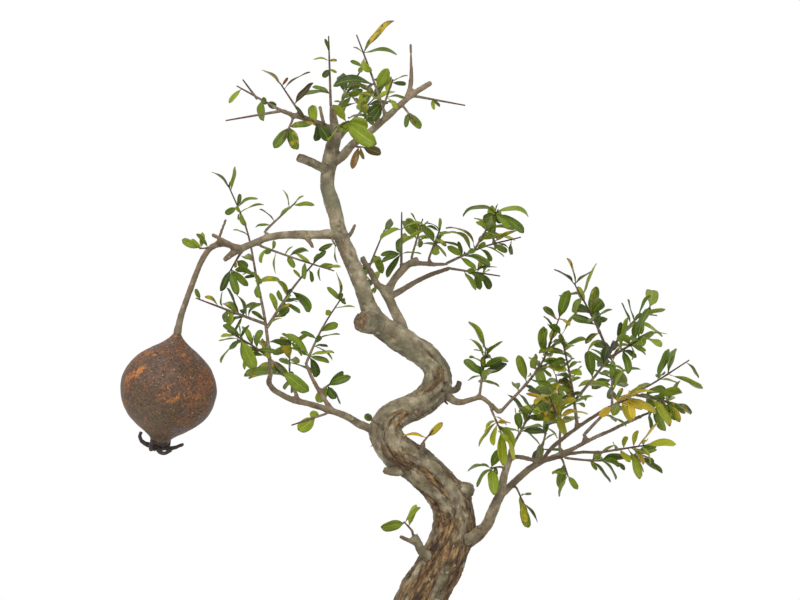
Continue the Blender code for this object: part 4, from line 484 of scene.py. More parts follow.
SPRAYS = {
    "top": dict(root=1.3, leaves=(0, 0, 18), tone="green", stems=[
        [(-61, 1.5, 490), (-62, 0, 500), (-63, -3, 515), (-63, -4, 527.5), (-63, -5.5, 538.5)],
    ]),
    "crown_low_left": dict(root=1.4, leaves=(0, 0, 18), tone="green", stems=[
        [(-94.5, -26.5, 484.5), (-105, -31, 482), (-118.5, -36.5, 479.5), (-132, -42, 476.5)],
    ]),
    "crown_far_left": dict(root=1.4, leaves=(0, 0, 18), tone="green", stems=[
        [(-93, -26.5, 483.5), (-101.5, -19.5, 488.5), (-112.5, -12.5, 494), (-127, -5.5, 503.5)],
        [(-112.5, -12.5, 494), (-117, -19.5, 499.5), (-121.5, -25, 506)],
    ]),
    "crown_twig": dict(root=1.1, leaves=(0, 0, 16), tone="bronze", stems=[
        [(-80.5, -17, 480.5), (-88, -28, 492), (-95.5, -34, 503)],
    ]),
    "crown_droop_left": dict(root=1.1, leaves=(0, 0, 18), tone="green", stems=[
        [(-86.5, -21, 481.5), (-89, -24, 474), (-93, -28, 465.5)],
    ]),
    "crown_mid": dict(root=1.4, leaves=(0, 0, 18), tone="green", stems=[
        [(-23, -24, 480.5), (-27.5, -19.5, 494.5), (-32.5, -14, 509), (-37.5, -10, 524),
         (-43.5, -7, 539)],
        [(-25, -22, 486.8), (-20.5, -26, 496), (-18, -28.5, 506)],
    ]),
    "crown_second": dict(root=1.2, leaves=(0, 0, 18), tone="green", stems=[
        [(-59.5, 1.5, 482.5), (-54, 10, 496.5), (-46.5, 17, 510), (-37.5, 22.5, 523)],
    ]),
    "crown_bare": dict(root=1.2, leaves=(0, 0, 18), tone="green", stems=[
        [(-6, -29.5, 494.5), (4.5, -24, 493.5), (18.5, -17, 491.5), (32, -11, 489.5)],
    ]),
    "crown_back": dict(root=1.3, leaves=(1, 2, 18), tone="green", stems=[
        [(-48, 42, 482.5), (-40, 56, 492), (-33, 70, 500.5)],
        [(-40, 56, 492), (-48, 67, 503), (-54.5, 78.5, 511.5)],
    ]),
    "crown_inner": dict(root=1.1, leaves=(0, 3, 17), tone="green", stems=[
        [(-46, -11, 462.5), (-42, -3, 474.5), (-37, 4, 483.5)],
    ]),
    "crown_front_left": dict(root=1.1, leaves=(0, 0, 18), tone="green", stems=[
        [(-72.5, -11, 478), (-71.5, -20, 477), (-69.5, -27, 475.5)],
    ]),
    "crown_front": dict(root=1.2, leaves=(0, 0, 18), tone="green", stems=[
        [(-58.5, -0.5, 471.5), (-55, -14, 478), (-51.5, -25, 480), (-48.5, -32, 477)],
    ]),
    "crown_under": dict(root=1.1, leaves=(0, 0, 18), tone="bronze", stems=[
        [(-46, -11, 462.5), (-42.5, -19, 460), (-38.5, -26, 459.5)],
    ]),
    "crown_droop_right": dict(root=1.1, leaves=(0, 0, 18), tone="green", stems=[
        [(-12.5, -28, 489), (-7, -35, 482), (-2.5, -40.5, 475)],
    ]),
    "upper_left": dict(root=1.2, leaves=(0, 0, 18), tone="green", stems=[
        [(-106, -17, 397), (-105, -11, 408.5), (-99.5, -5.5, 418.5), (-93, -1.5, 425), (-86, 3, 423)],
    ]),
    "thin_droop": dict(root=1.1, leaves=(0, 0, 18), tone="green", stems=[
        [(-113, -17, 393.5), (-100, -28, 387), (-83, -36.5, 382), (-72, -42, 378), (-58, -47.5, 374)],
    ]),
    "left_reach": dict(root=1.1, leaves=(0, 0, 18), tone="green", stems=[
        [(-136.5, -17, 392.5), (-144, -24, 390), (-151, -29, 389.5)],
    ]),
    "high_left": dict(root=1.0, leaves=(0, 0, 18), tone="green", stems=[
        [(-61, -8.5, 399.5), (-60, -15, 395.5), (-57.5, -19, 391.5)],
    ]),
    "small_droop": dict(root=1.1, leaves=(0, 0, 18), tone="green", stems=[
        [(-121.5, -17, 390), (-127, -11, 382), (-131.5, -8.5, 374.5)],
    ]),
    "tall_left": dict(root=1.8, leaves=(0, 0, 18), tone="green", stems=[
        [(-103.5, -28, 297), (-102, -24, 307.5), (-104.5, -18, 322.5), (-106.5, -12.5, 337.5),
         (-109.5, -5.5, 361), (-114, -1.5, 371.5), (-118, 4, 388), (-121, 8.5, 403.5),
         (-124.5, 11, 417), (-134.5, 14, 435.5)],
        [(-106.5, -12.5, 337.5), (-121.5, -22.5, 342.5), (-132.5, -31, 348), (-144.5, -39, 353),
         (-152, -45, 355.5)],
        [(-105.5, -14, 335), (-95.5, -3, 352), (-85, 5.5, 367), (-77.5, 11, 375.5), (-66.5, 17, 389)],
    ]),
    "mid_left_low": dict(root=1.3, leaves=(0, 0, 18), tone="green", stems=[
        [(-88.5, -36.5, 299.5), (-93.5, -43.5, 310.5), (-109.5, -50.5, 320.5), (-121.5, -56, 328),
         (-129.5, -61.5, 333.5)],
    ]),
    "mid_left_up": dict(root=1.3, leaves=(0, 0, 18), tone="green", stems=[
        [(-78, -14, 309), (-77, -12.5, 317.5), (-71, -10, 327), (-61.5, -7, 346.5),
         (-53.5, -5.5, 356.5)],
    ]),
    "mid_left_under": dict(root=1.1, leaves=(0, 0, 18), tone="green", stems=[
        [(-60.5, -26.5, 278), (-69, -38, 274), (-78, -46, 272), (-86.5, -53, 269.5)],
    ]),
    "mid_left_inner": dict(root=1.1, leaves=(0, 0, 18), tone="green", stems=[
        [(-68.5, -18, 290.5), (-61, -8.5, 297), (-53, 0, 301.5)],
    ]),
    "mid_left_behind": dict(root=1.3, leaves=(0, 1, 19), tone="green", stems=[
        [(-82.5, -31, 284.5), (-85.5, -11, 290.5), (-90.5, 8.5, 300.5), (-93, 25, 314.5),
         (-91.5, 39, 327)],
    ]),
    "trunk_sprout": dict(root=1.1, leaves=(0, 0, 18), tone="lime", stems=[
        [(-3.5, -18, 190), (-5.5, -25, 196.5), (-10.5, -31, 202)],
    ]),
    "trunk_gold": dict(root=1, leaves=(0, 0, 18), tone="gold", stems=[
        [(2.5, -15.5, 255), (5.5, -19.5, 260), (9.5, -22.5, 264)],
    ]),
    "trunk_left": dict(root=1, leaves=(0, 0, 18), tone="green", stems=[
        [(-21.5, -11, 264), (-31, -25, 270), (-36.5, -32, 275.5)],
    ]),
    "second_upright": dict(root=1.2, leaves=(0, 0, 18), tone="green", stems=[
        [(-12.5, 12.5, 374.5), (-12, 5.5, 389.5), (-12, 0, 403), (-12, -4, 415.5)],
    ]),
    "second_lean": dict(root=1.1, leaves=(0, 0, 18), tone="green", stems=[
        [(-5, 9, 379.5), (-4, 17, 392.5), (-1, 24, 403), (3, 29.5, 412)],
    ]),
    "second_mid": dict(root=1.1, leaves=(0, 0, 18), tone="green", stems=[
        [(8.5, 14, 379.5), (7, 7, 386.5), (10.5, 1.5, 395.5), (15, -3, 404.5)],
    ]),
    "second_long": dict(root=1.3, leaves=(0, 0, 18), tone="green", stems=[
        [(19.5, 17, 379.5), (28, 19.5, 385.5), (37, 22.5, 389.5), (48, 25, 392.5), (62.5, 28, 397),
         (73, 31, 399)],
        [(40, 23, 390.5), (46, 17, 400), (51, 12.5, 410), (56, 8.5, 418)],
        [(53, 26.5, 394), (54, 33.5, 401.5), (55.5, 39, 408.5)],
    ]),
    "second_fork": dict(root=1.2, leaves=(0, 0, 18), tone="green", stems=[
        [(22.5, 38, 377), (32, 40.5, 375), (47, 45, 371), (59, 49, 371.5)],
    ]),
    "second_arch": dict(root=1.1, leaves=(0, 1, 17), tone="green", stems=[
        [(-33.5, 17, 373.5), (-37.5, 31, 384), (-33.5, 39, 396), (-24.5, 45, 404.5)],
    ]),
    "second_back": dict(root=1.3, leaves=(2, 2, 18), tone="green", stems=[
        [(-21.5, 19.5, 356.5), (-27.5, 42, 361.5), (-33.5, 61.5, 368.5), (-36.5, 78.5, 377.5)],
    ]),
    "right_tall": dict(root=1.2, leaves=(3, 2, 19), tone="green", stems=[
        [(41.5, -14.5, 286), (44, -8.5, 298.5), (45.5, -4, 308), (47, 0, 320.5)],
    ]),
    "right_rise": dict(root=1.4, leaves=(4, 2, 20), tone="green", stems=[
        [(55, -25, 276.5), (63, -26.5, 284.5), (73.5, -28, 295), (83, -31, 309), (90.5, -33.5, 318.5),
         (93.5, -36.5, 332.5), (95.5, -39, 342)],
    ]),
    "right_hang": dict(root=1.1, leaves=(1, 3, 21), tone="lime", stems=[
        [(49, -21, 282.5), (51, -33.5, 273.5), (55.5, -45, 264.5)],
    ]),
    "right_front": dict(root=1.6, leaves=(3, 2, 20), tone="green", stems=[
        [(109, -14, 265), (109, -21, 277), (108, -26.5, 286), (104, -32, 299.5), (99.5, -38, 318.5),
         (96.5, -42, 331)],
        [(108, -26.5, 286), (119.5, -22.5, 301), (132.5, -17, 314.5), (141, -11, 330.5),
         (151.5, -5.5, 341.5), (162, 0, 349.5)],
        [(132.5, -17, 314.5), (127.5, -22.5, 325), (122.5, -28, 335.5), (115.5, -33.5, 350),
         (112, -36.5, 357.5), (105.5, -39, 366)],
        [(132.5, -17, 314.5), (144.5, -28, 321), (154, -38, 329.5)],
    ]),
    "right_far": dict(root=1.6, leaves=(3, 2, 21), tone="green", stems=[
        [(118, 36.5, 251), (121, 40.5, 261), (129, 43.5, 272), (144.5, 47.5, 280.5),
         (157.5, 52, 285.5), (171, 56, 294.5), (184, 59, 303.5), (197, 61.5, 310.5)],
        [(157.5, 52, 285.5), (172, 61.5, 280), (187, 68.5, 279)],
        [(139.5, 46, 278), (137, 59, 296), (141.5, 70, 310.5)],
    ]),
    "right_low_front": dict(root=1.2, leaves=(2, 2, 20), tone="lime", stems=[
        [(126.5, -5.5, 248), (135.5, -11, 250), (144.5, -17, 251.5), (156.5, -22.5, 254)],
    ]),
    "right_low_back": dict(root=1.2, leaves=(3, 2, 19), tone="green", stems=[
        [(101, 22.5, 245), (110, 18, 240), (129.5, 22.5, 240), (156.5, 28, 243)],
    ]),
    "right_back_end": dict(root=1.2, leaves=(1, 3, 18), tone="green", stems=[
        [(163, 69.5, 269), (171.5, 75.5, 273), (181, 81, 275)],
    ]),
    "right_front_end": dict(root=1.2, leaves=(1, 3, 19), tone="gold", stems=[
        [(128.5, -22.5, 278.5), (135, -31, 283.5), (142.5, -39, 286.5)],
    ]),
    "right_inner_hang": dict(root=1, leaves=(0, 3, 18), tone="green", stems=[
        [(60.5, -7, 235.5), (54, -18, 240.5), (49, -26.5, 238.5)],
    ]),
    "right_under": dict(root=1, leaves=(0, 3, 18), tone="green", stems=[
        [(99.5, 7, 244), (102.5, -4, 238.5), (103.5, -12.5, 232)],
    ]),
    "right_under_near": dict(root=1, leaves=(0, 3, 17), tone="green", stems=[
        [(66, 4, 225.5), (70.5, -4, 219.5), (72.5, -11, 213)],
    ]),
    "right_core_up": dict(root=1.3, leaves=(2, 2, 20), tone="green", stems=[
        [(64, -12.5, 250.5), (68, -18, 260), (72.5, -22.5, 269.5), (78.5, -24, 279)],
    ]),
    "right_core_back": dict(root=1.4, leaves=(3, 2, 21), tone="green", stems=[
        [(80.5, 8.5, 236.5), (86.5, 28, 246), (91.5, 47.5, 257.5), (94.5, 61.5, 271.5), (93, 73, 287)],
    ]),
    "right_core_mid": dict(root=1.3, leaves=(4, 2, 20), tone="green", stems=[
        [(101, 22.5, 245), (100, 29, 256), (101, 33, 270), (101.5, 35, 285.5), (98.5, 39, 301)],
    ]),
    "right_core_front": dict(root=1.2, leaves=(2, 3, 20), tone="gold", stems=[
        [(102.5, -8.5, 259.5), (97, -22.5, 268.5), (91, -33.5, 279), (88.5, -42, 289)],
    ]),
}

# Leaves read in the photo as pixels: root (across, down), tip (across, down), width as it
# shows, and how much the blade bends on its way, in radians
SEEN_LEAVES = {
    "top": [(324.5, 51.5, 324.5, 38.5, 5, 0.4), (330, 61, 313, 59.5, 2.5, 0.8), (330, 61, 337, 61, 2.5, 0.5),
        (328.5, 66, 322.5, 77.5, 7.5, 0.4), (332, 67, 337, 72.5, 3, 0.5), (330, 92, 312, 87, 2.5, 0.7),
        (328.5, 109.5, 295.5, 98.5, 2.5, 0.9)],
    "crown_far_left": [(237.5, 88.5, 228.5, 103.5, 5.5, 0.6), (271.5, 91, 261, 100, 8.5, 0.4),
        (261, 100.5, 264, 121.5, 12.5, 0.5), (269, 100.5, 276.5, 107, 7.5, 0.4)],
    "crown_twig": [(277.5, 84, 261, 69.5, 5, 0.7), (277.5, 82.5, 288, 77.5, 3, 0.5), (284, 88.5, 311, 72, 3, 0.6),
        (293.5, 103.5, 303.5, 118.5, 5.5, 0.5), (303.5, 107, 314, 82.5, 8.5, 0.4)],
    "crown_front_left": [(313, 122.5, 312, 105, 10.5, 0.4), (315, 124.5, 290, 126.5, 8.5, 0.9),
        (313, 122.5, 315, 141.5, 11.5, 0.5), (322.5, 124.5, 330, 141.5, 11.5, 0.5)],
    "crown_front": [(327, 115, 351, 129, 11.5, 0.7), (343.5, 111, 368.5, 127, 15.5, 0.6),
        (348.5, 122.5, 374, 140.5, 16.5, 0.7)],
    "crown_droop_left": [(292, 129, 273.5, 148.5, 11.5, 0.6), (293, 129, 298.5, 150, 14.5, 0.5)],
    "crown_under": [(368.5, 142.5, 381.5, 154, 9.5, 0.6), (360.5, 146.5, 364.5, 159.5, 5.5, 0.5),
        (348.5, 151, 352, 169.5, 5.5, 0.5)],
    "crown_mid": [(373, 86, 332, 86, 6.5, 1.1), (365.5, 57.5, 372, 71.5, 8.5, 2.2),
        (368.5, 49.5, 395, 20, 7.5, 0.5), (375, 51.5, 398, 54.5, 5.5, 0.8), (361.5, 52.5, 353, 47, 2.5, 0.4),
        (380, 89, 388.5, 68, 11.5, 0.4), (392.5, 78.5, 408.5, 75.5, 3, 0.6), (393, 84, 406.5, 84, 5, 0.6),
        (378, 102.5, 356, 95.5, 4, 1.3), (380, 107, 367.5, 115, 8.5, 0.6), (381, 109, 372, 120.5, 8.5, 0.5),
        (389.5, 98.5, 406.5, 98.5, 2, 0.6)],
    "crown_second": [(363.5, 57.5, 350, 61, 3.5, 0.7), (364.5, 63, 358, 71.5, 5.5, 0.5),
        (340.5, 97.5, 345.5, 92, 2.5, 0.4), (341.5, 105, 334, 101.5, 2.5, 0.4)],
    "crown_droop_right": [(401, 109, 411.5, 118.5, 5.5, 0.5), (397, 113, 405.5, 128, 1.5, 0.5),
        (415, 107, 421, 129, 10, 0.4)],
    "crown_bare": [(429.5, 101.5, 434.5, 110, 2.5, 0.4), (433.5, 104.5, 440, 107, 2.5, 0.4)],
    "second_upright": [(400.5, 229.5, 380, 240.5, 5.5, 1.9), (403, 232, 424.5, 225, 2.5, 1.2),
        (400.5, 234, 400.5, 253.5, 14, 0.5), (399.5, 253.5, 386.5, 278, 7.5, 0.5), (398, 251, 380, 255, 5.5, 0.7),
        (398, 259.5, 381.5, 262.5, 4.5, 0.6)],
    "second_arch": [(384, 278, 362.5, 269, 4.5, 1.2), (373.5, 266, 380.5, 257, 2.5, 0.5)],
    "second_lean": [(423, 226, 427.5, 231, 5, 0.4), (417, 236, 431, 237, 4.5, 1.2), (412, 244.5, 437, 237, 2, 1.1),
        (416, 245.5, 447, 257, 2, 1.5)],
    "second_mid": [(441, 228.5, 440, 217.5, 4.5, 0.3), (437, 229, 426, 226.5, 3, 1.2),
        (440, 217.5, 426.5, 223.5, 2.5, 1.6), (436, 237, 446.5, 246.5, 3, 1.1), (429.5, 257, 439.5, 251.5, 3, 0.5),
        (447, 228, 443.5, 236, 1.5, 0.6)],
    "second_long": [(472, 248.5, 445, 228, 3.5, 1.7), (469.5, 249.5, 443.5, 229.5, 1.5, 1.6),
        (462, 249, 447, 246, 7.5, 0.5), (457, 238.5, 458, 241, 5, 0.5), (487.5, 206.5, 462.5, 216.5, 6.5, 2.3),
        (487.5, 209, 483, 220, 8.5, 0.5), (493, 208, 498, 203.5, 3.5, 0.3), (493, 216, 501.5, 223.5, 7.5, 0.4),
        (514, 210.5, 529.5, 216.5, 6, 1.7), (512.5, 213.5, 524.5, 233.5, 7.5, 0.8),
        (505.5, 220, 510, 227.5, 2.5, 0.4), (510, 229, 513, 254.5, 12.5, 0.4), (492, 248, 507.5, 252, 7.5, 0.5),
        (490.5, 235.5, 475.5, 221.5, 2.5, 0.4), (496.5, 232, 499, 239, 6, 0.3), (498, 242, 509, 248.5, 3, 0.6)],
    "second_fork": [(474.5, 262, 497.5, 267, 4, 0.5), (469, 261, 475.5, 271.5, 7.5, 0.4),
        (477, 259.5, 482.5, 256, 6, 0.4), (483, 253.5, 491, 256, 4.5, 0.4)],
    "second_low": [(409.5, 287, 422, 277.5, 5, 1.7), (412, 283, 413.5, 292.5, 5.5, 0.4)],
    "tall_left": [(224.5, 179, 211.5, 171.5, 2, 0.7), (226.5, 179.5, 235.5, 166, 2, -0.5),
        (229.5, 188.5, 230.5, 181, 5, 0.3), (242.5, 208.5, 240, 193.5, 3.5, 0.3),
        (243.5, 208, 258.5, 198.5, 2, 1.0), (244.5, 209.5, 264.5, 204.5, 3.5, 0.6),
        (244, 212, 246.5, 226, 7.5, 0.4), (240, 212, 238.5, 220.5, 5, 0.4), (235.5, 207.5, 225, 214, 6.5, 0.6),
        (243, 208.5, 235.5, 206.5, 3.5, 0.6), (247.5, 235.5, 232.5, 230, 2, 0.8),
        (254, 277, 234.5, 269.5, 3.5, 0.8), (252.5, 276.5, 244.5, 277.5, 3, 0.9), (261, 280, 280, 280, 6, 1.6),
        (258.5, 280, 260.5, 298, 9.5, 0.5), (299, 280, 293, 269.5, 4, 0.5), (311.5, 274, 312, 282.5, 6, 0.4),
        (313, 263, 326.5, 250.5, 4, 0.2), (312, 265.5, 319, 253.5, 4.5, 0.3), (284, 293.5, 292.5, 289.5, 6.5, 0.5),
        (223, 304, 222.5, 291.5, 7.5, 0.4), (218.5, 304, 204.5, 296.5, 3.5, 1.0),
        (198, 298, 195.5, 288.5, 5.5, 0.4), (237.5, 314, 223.5, 313.5, 4, 0.6), (250.5, 316, 261, 303.5, 2.5, 1.4),
        (272, 312, 270, 292.5, 4, 0.4), (280.5, 303.5, 278, 290, 7.5, 0.4), (275.5, 319, 290, 308, 6, -0.8)],
    "left_reach": [(197.5, 247.5, 181.5, 239.5, 8, 0.5), (195, 245, 191, 239, 5, 0.4),
        (207.5, 246.5, 196, 233.5, 5.5, 0.7), (198.5, 245, 202.5, 232, 1.5, 0.3)],
    "small_droop": [(235.5, 253.5, 237, 267, 7.5, 0.4), (238, 255.5, 247.5, 268.5, 9.5, 0.4),
        (228.5, 274, 220.5, 292, 6, 0.4), (230, 281, 238, 295.5, 7.5, 0.4), (233, 271.5, 248.5, 286.5, 8.5, 0.4)],
    "thin_droop": [(274.5, 251.5, 275.5, 274, 8.5, 0.4), (272, 250.5, 264, 252.5, 6, 0.6),
        (272, 248.5, 274, 240.5, 5, 0.4), (309, 266.5, 296, 254, 5, 0.9), (254, 246, 261, 263.5, 3.5, 1.5),
        (319, 266.5, 320.5, 281, 9.5, 0.5), (324, 265.5, 341, 267, 1.5, 0.5)],
    "upper_left": [(283.5, 200, 283, 189.5, 6, 0.6), (295, 202, 315, 205, 5, 0.3),
        (296, 202, 304, 195.5, 1.5, 0.3), (274.5, 215.5, 292, 206.5, 2, 0.5), (269.5, 219.5, 259, 209, 3, 0.7),
        (262, 232.5, 255, 227.5, 3.5, 1.0)],
    "mid_left_up": [(336, 272.5, 326.5, 287, 7.5, 0.6), (344.5, 281, 336, 271.5, 6, 0.5),
        (343.5, 276.5, 343, 293.5, 9.5, 0.4), (354.5, 291, 345, 303, 6.5, 0.6), (308.5, 354, 335, 353, 4, 0.6),
        (308.5, 357.5, 330, 362.5, 6, 0.9), (308.5, 358, 316, 378, 9.5, 0.5), (316, 338.5, 300, 332.5, 3.5, 0.9),
        (317.5, 338.5, 340.5, 334.5, 1.5, 0.6), (332.5, 310, 325.5, 313, 6.5, 0.4),
        (333.5, 309.5, 355.5, 307, 1.5, 0.3), (306, 355.5, 284, 334, 6.5, 1.0), (303.5, 358, 289, 348, 5.5, 0.6)],
    "mid_left_low": [(238.5, 336.5, 222.5, 325, 3.5, 0.8), (239, 337.5, 238, 323.5, 5.5, 0.3),
        (239, 337.5, 249.5, 324.5, 4, 0.5), (235.5, 339, 220.5, 336.5, 1.5, 0.4), (241, 341, 255, 370, 13.5, 0.5),
        (241.5, 349.5, 220.5, 363.5, 3, 1.0), (247.5, 353, 244, 371, 6, 0.6), (260, 348, 279, 353.5, 6, 0.4),
        (258.5, 355.5, 272, 358, 4, 0.6), (254, 344.5, 254, 335, 2.5, 0.4), (287.5, 362.5, 309.5, 392, 13, 0.7)],
    "mid_left_inner": [(307, 393, 317, 402.5, 10.5, 0.4), (326.5, 390.5, 351.5, 376.5, 7.5, 0.4),
        (326.5, 390.5, 343.5, 371, 9, 0.4), (326.5, 392, 336, 399, 9.5, 0.4), (336, 398, 342, 403.5, 3, 0.4)],
    "mid_left_under": [(323, 406.5, 309.5, 413.5, 7.5, 0.5), (315.5, 416, 297.5, 430.5, 13, 0.4)],
    "mid_left_behind": [(279, 358, 280.5, 336, 12, 0.4), (272, 343.5, 302, 356.5, 3.5, 1.0),
        (304, 330, 281.5, 333.5, 2.5, 1.0), (269.5, 382, 243, 376.5, 4, 0.8), (268.5, 384.5, 247.5, 379, 2, 0.7),
        (267, 385.5, 248.5, 387.5, 1.5, 1.2), (270.5, 379.5, 272, 361.5, 7, 0.3),
        (274.5, 379.5, 294, 373.5, 5.5, 1.2), (275.5, 387, 291.5, 393.5, 1.5, 1.5),
        (268.5, 379.5, 254, 370, 3.5, 0.6)],
    "high_left": [(333.5, 243.5, 318.5, 250.5, 6, 0.9), (340, 252, 337.5, 263.5, 6.5, 0.5)],
    "trunk_sprout": [(412, 516, 380, 527, 12, 0.5), (412, 516, 421, 507, 4, 0.3), (428, 510, 416.5, 504, 5, 0.5)],
    "trunk_left": [(381, 413, 364.5, 414.5, 7.5, 0.5)],
    "trunk_gold": [(422, 437.5, 443, 422, 7, 0.4), (420, 438, 401, 436, 3.5, 0.6)],
}

# %% Reading the lines
def smooth_route(points, step):
    """A Catmull-Rom curve through given points, read at even distances of about step."""
    given = np.array(points, dtype=float)
    padded = np.vstack([2 * given[0] - given[1], given, 2 * given[-1] - given[-2]])
    fine = []
    for a, b, c, d in zip(padded, padded[1:], padded[2:], padded[3:]):
        for t in np.linspace(0.0, 1.0, 8, endpoint=False):
            fine.append(0.5 * (2 * b + (c - a) * t + (2 * a - 5 * b + 4 * c - d) * t ** 2
                               + (3 * b - a - 3 * c + d) * t ** 3))
    fine = np.array(fine + [given[-1]])
    ends = np.concatenate([[0.0], np.cumsum(np.linalg.norm(np.diff(fine[:, :3], axis=0), axis=1))])
    places = np.linspace(0.0, ends[-1], max(1, round(ends[-1] / step)) + 1)
    return np.column_stack([np.interp(places, ends, fine[:, k]) for k in range(4)])


def segments(route):
    """Pairs of neighbouring points of a route, as (ax, ay, az, ar, bx, by, bz, br) rows."""
    return np.hstack([route[:-1], route[1:]])


def air_to(points, rows):
    """The least distance from any of the points to the round segments' surfaces."""
    if len(rows) == 0:
        return math.inf
    start = rows[None, :, 0:3]
    along = rows[None, :, 4:7] - start
    spot = points[:, None, 0:3] - start
    share = np.clip((spot * along).sum(2) / np.maximum((along * along).sum(2), 1e-9), 0.0, 1.0)
    radius = rows[None, :, 3] + share * (rows[None, :, 7] - rows[None, :, 3])
    return float((np.linalg.norm(spot - share[..., None] * along, axis=2) - radius - points[:, None, 3]).min())


TRUNK_LINE = smooth_route(TRUNK_ROUTE, TRUNK_STEP)
LIMB_LINES = {name: smooth_route(points, LIMB_STEP) for name, points in LIMBS.items()}
WOOD_ROWS = np.vstack([segments(TRUNK_LINE)] + [segments(line) for line in LIMB_LINES.values()])


FRUIT_ROWS = np.array([[-172.5, -17, 302, 34.5, -175.5, -17, 283, 34.5],
                       [-178, -17, 270, 24, -182, -19, 250, 17]])


def limb_ending_at(foot):
    for line in [TRUNK_LINE, *LIMB_LINES.values()]:
        if np.linalg.norm(line[-1, :3] - foot) < LIMB_END_REACH:
            return line
    return None


def spray_foot(stem, root):
    """Where a spray starts: straight on from a limb's end, or off a spur that clears the bark.

    Gives the spur's route, or None, the point where the first shoot begins, and its direction.
    """
    foot = np.array(stem[0], dtype=float)
    way = np.array(stem[1], dtype=float) - foot
    reach = float(np.linalg.norm(way))
    way = way / reach
    limb = limb_ending_at(foot)
    if limb is not None:
        ahead = limb[-1, :3] - limb[-2, :3]
        straight = float(ahead @ way / np.linalg.norm(ahead))
        if straight > STRAIGHT_ON and limb[-1, 3] < THIN_END * root:
            tilt = math.sqrt(max(1.0 - straight ** 2, 0.0))
            return None, limb[-1, :3] + way * (FIT_GAP + limb[-1, 3] * tilt), way
    spur = SPUR_LEAST
    while spur < reach - SHOOT_LEAST and air_to(np.array([[*(foot + way * spur), root]]), WOOD_ROWS) < SPUR_CLEAR:
        spur += SPUR_GROWS
    route = np.array([[*foot, root * SPUR_SWELL], [*(foot + way * spur), root * SPUR_SWELL]])
    return route, foot + way * (spur + FIT_GAP), way


def shoot_lines(name):
    """A spray's shoots as routes: the first starts at its foot, the others inside the first."""
    spray = SPRAYS[name]
    lines = []
    for number, stem in enumerate(spray["stems"]):
        root = spray["root"] * (SIDE_SHOOT if number else 1.0)
        radii = np.linspace(max(root, TIP_RADIUS), TIP_RADIUS, len(stem))
        route = np.column_stack([np.array(stem, dtype=float), radii])
        if number:
            lines.append(smooth_route(route, SHOOT_STEP))
            continue
        _, start, way = spray_foot(stem, root)
        head = np.array([[*start, root], [*(start + way * SHOOT_HEAD), root]])
        lines.append(np.vstack([head[:1], smooth_route(np.vstack([head[1:], route[1:]]), SHOOT_STEP)]))
    return lines


def place_on(line, share):
    """A point of a line by share of its length, and the line's direction there."""
    steps = np.linalg.norm(np.diff(line[:, :3], axis=0), axis=1)
    ends = np.concatenate([[0.0], np.cumsum(steps)])
    at = min(share * ends[-1], ends[-1] - 1.0)
    k = min(int(np.searchsorted(ends, at, side="right")) - 1, len(steps) - 1)
    spot = line[k, :3] + (line[k + 1, :3] - line[k, :3]) * (at - ends[k]) / steps[k]
    return Vector(spot), Vector(line[k + 1, :3] - line[k, :3]).normalized()


# Leaves: (root, way, side, face, length, width, arch) says where one lies and how it bends

def draw_leaf(rng, spot, along, turn, spread, size):
    """One try at a leaf: it leaves the shoot at an angle, sags, and is rolled about its own rib."""
    level = along.orthogonal().normalized()
    outward = Quaternion(along, turn + rng.uniform(-0.5, 0.5)) @ level
    lean = math.radians(rng.uniform(*spread))
    way = along * math.cos(lean) + outward * math.sin(lean)
    way = (way - Vector((0, 0, rng.uniform(0.0, 0.35)))).normalized()
    side = Vector((0, 0, 1)).cross(way)
    side = side.normalized() if side.length > 0.15 else outward.cross(way).normalized()
    side = Quaternion(way, rng.uniform(-0.9, 0.9)) @ side
    length = size * rng.uniform(0.85, 1.35)
    width = length * LEAF_SLIMNESS * rng.uniform(0.85, 1.15)
    arch = rng.uniform(-0.15, 0.9) + 1e-4
    return spot, way, side, way.cross(side), length, width, arch


def photo_place(across, down, depth):
    """The point at a depth that shows at a place of the photo."""
    scale = PIXEL * (1 + depth / VIEW_DISTANCE)
    return Vector((VIEW_AXIS[0] + (across - PHOTO_MIDDLE[0]) * scale, depth,
                   VIEW_AXIS[1] + (PHOTO_MIDDLE[1] - down) * scale))


def shown_root(lines, across, down):
    """The point on a spray's shoots that shows nearest to a place of the photo."""
    steps = np.linspace(0.0, 1.0, 8, endpoint=False)[None, :, None]
    spots = np.vstack([(line[:-1, None, :3] + (line[1:, None, :3] - line[:-1, None, :3]) * steps).reshape(-1, 3)
                       for line in lines])
    spots = spots[np.linalg.norm(spots - lines[0][0, :3], axis=1) > SEEN_ROOT_CLEAR]
    scale = 1 + spots[:, 1] / VIEW_DISTANCE
    shown_x = (spots[:, 0] - VIEW_AXIS[0]) / scale
    shown_z = (spots[:, 2] - VIEW_AXIS[1]) / scale
    wanted = photo_place(across, down, 0.0)
    miss = np.hypot(shown_x - (wanted.x - VIEW_AXIS[0]), shown_z - (wanted.z - VIEW_AXIS[1]))
    return Vector(spots[int(miss.argmin())])


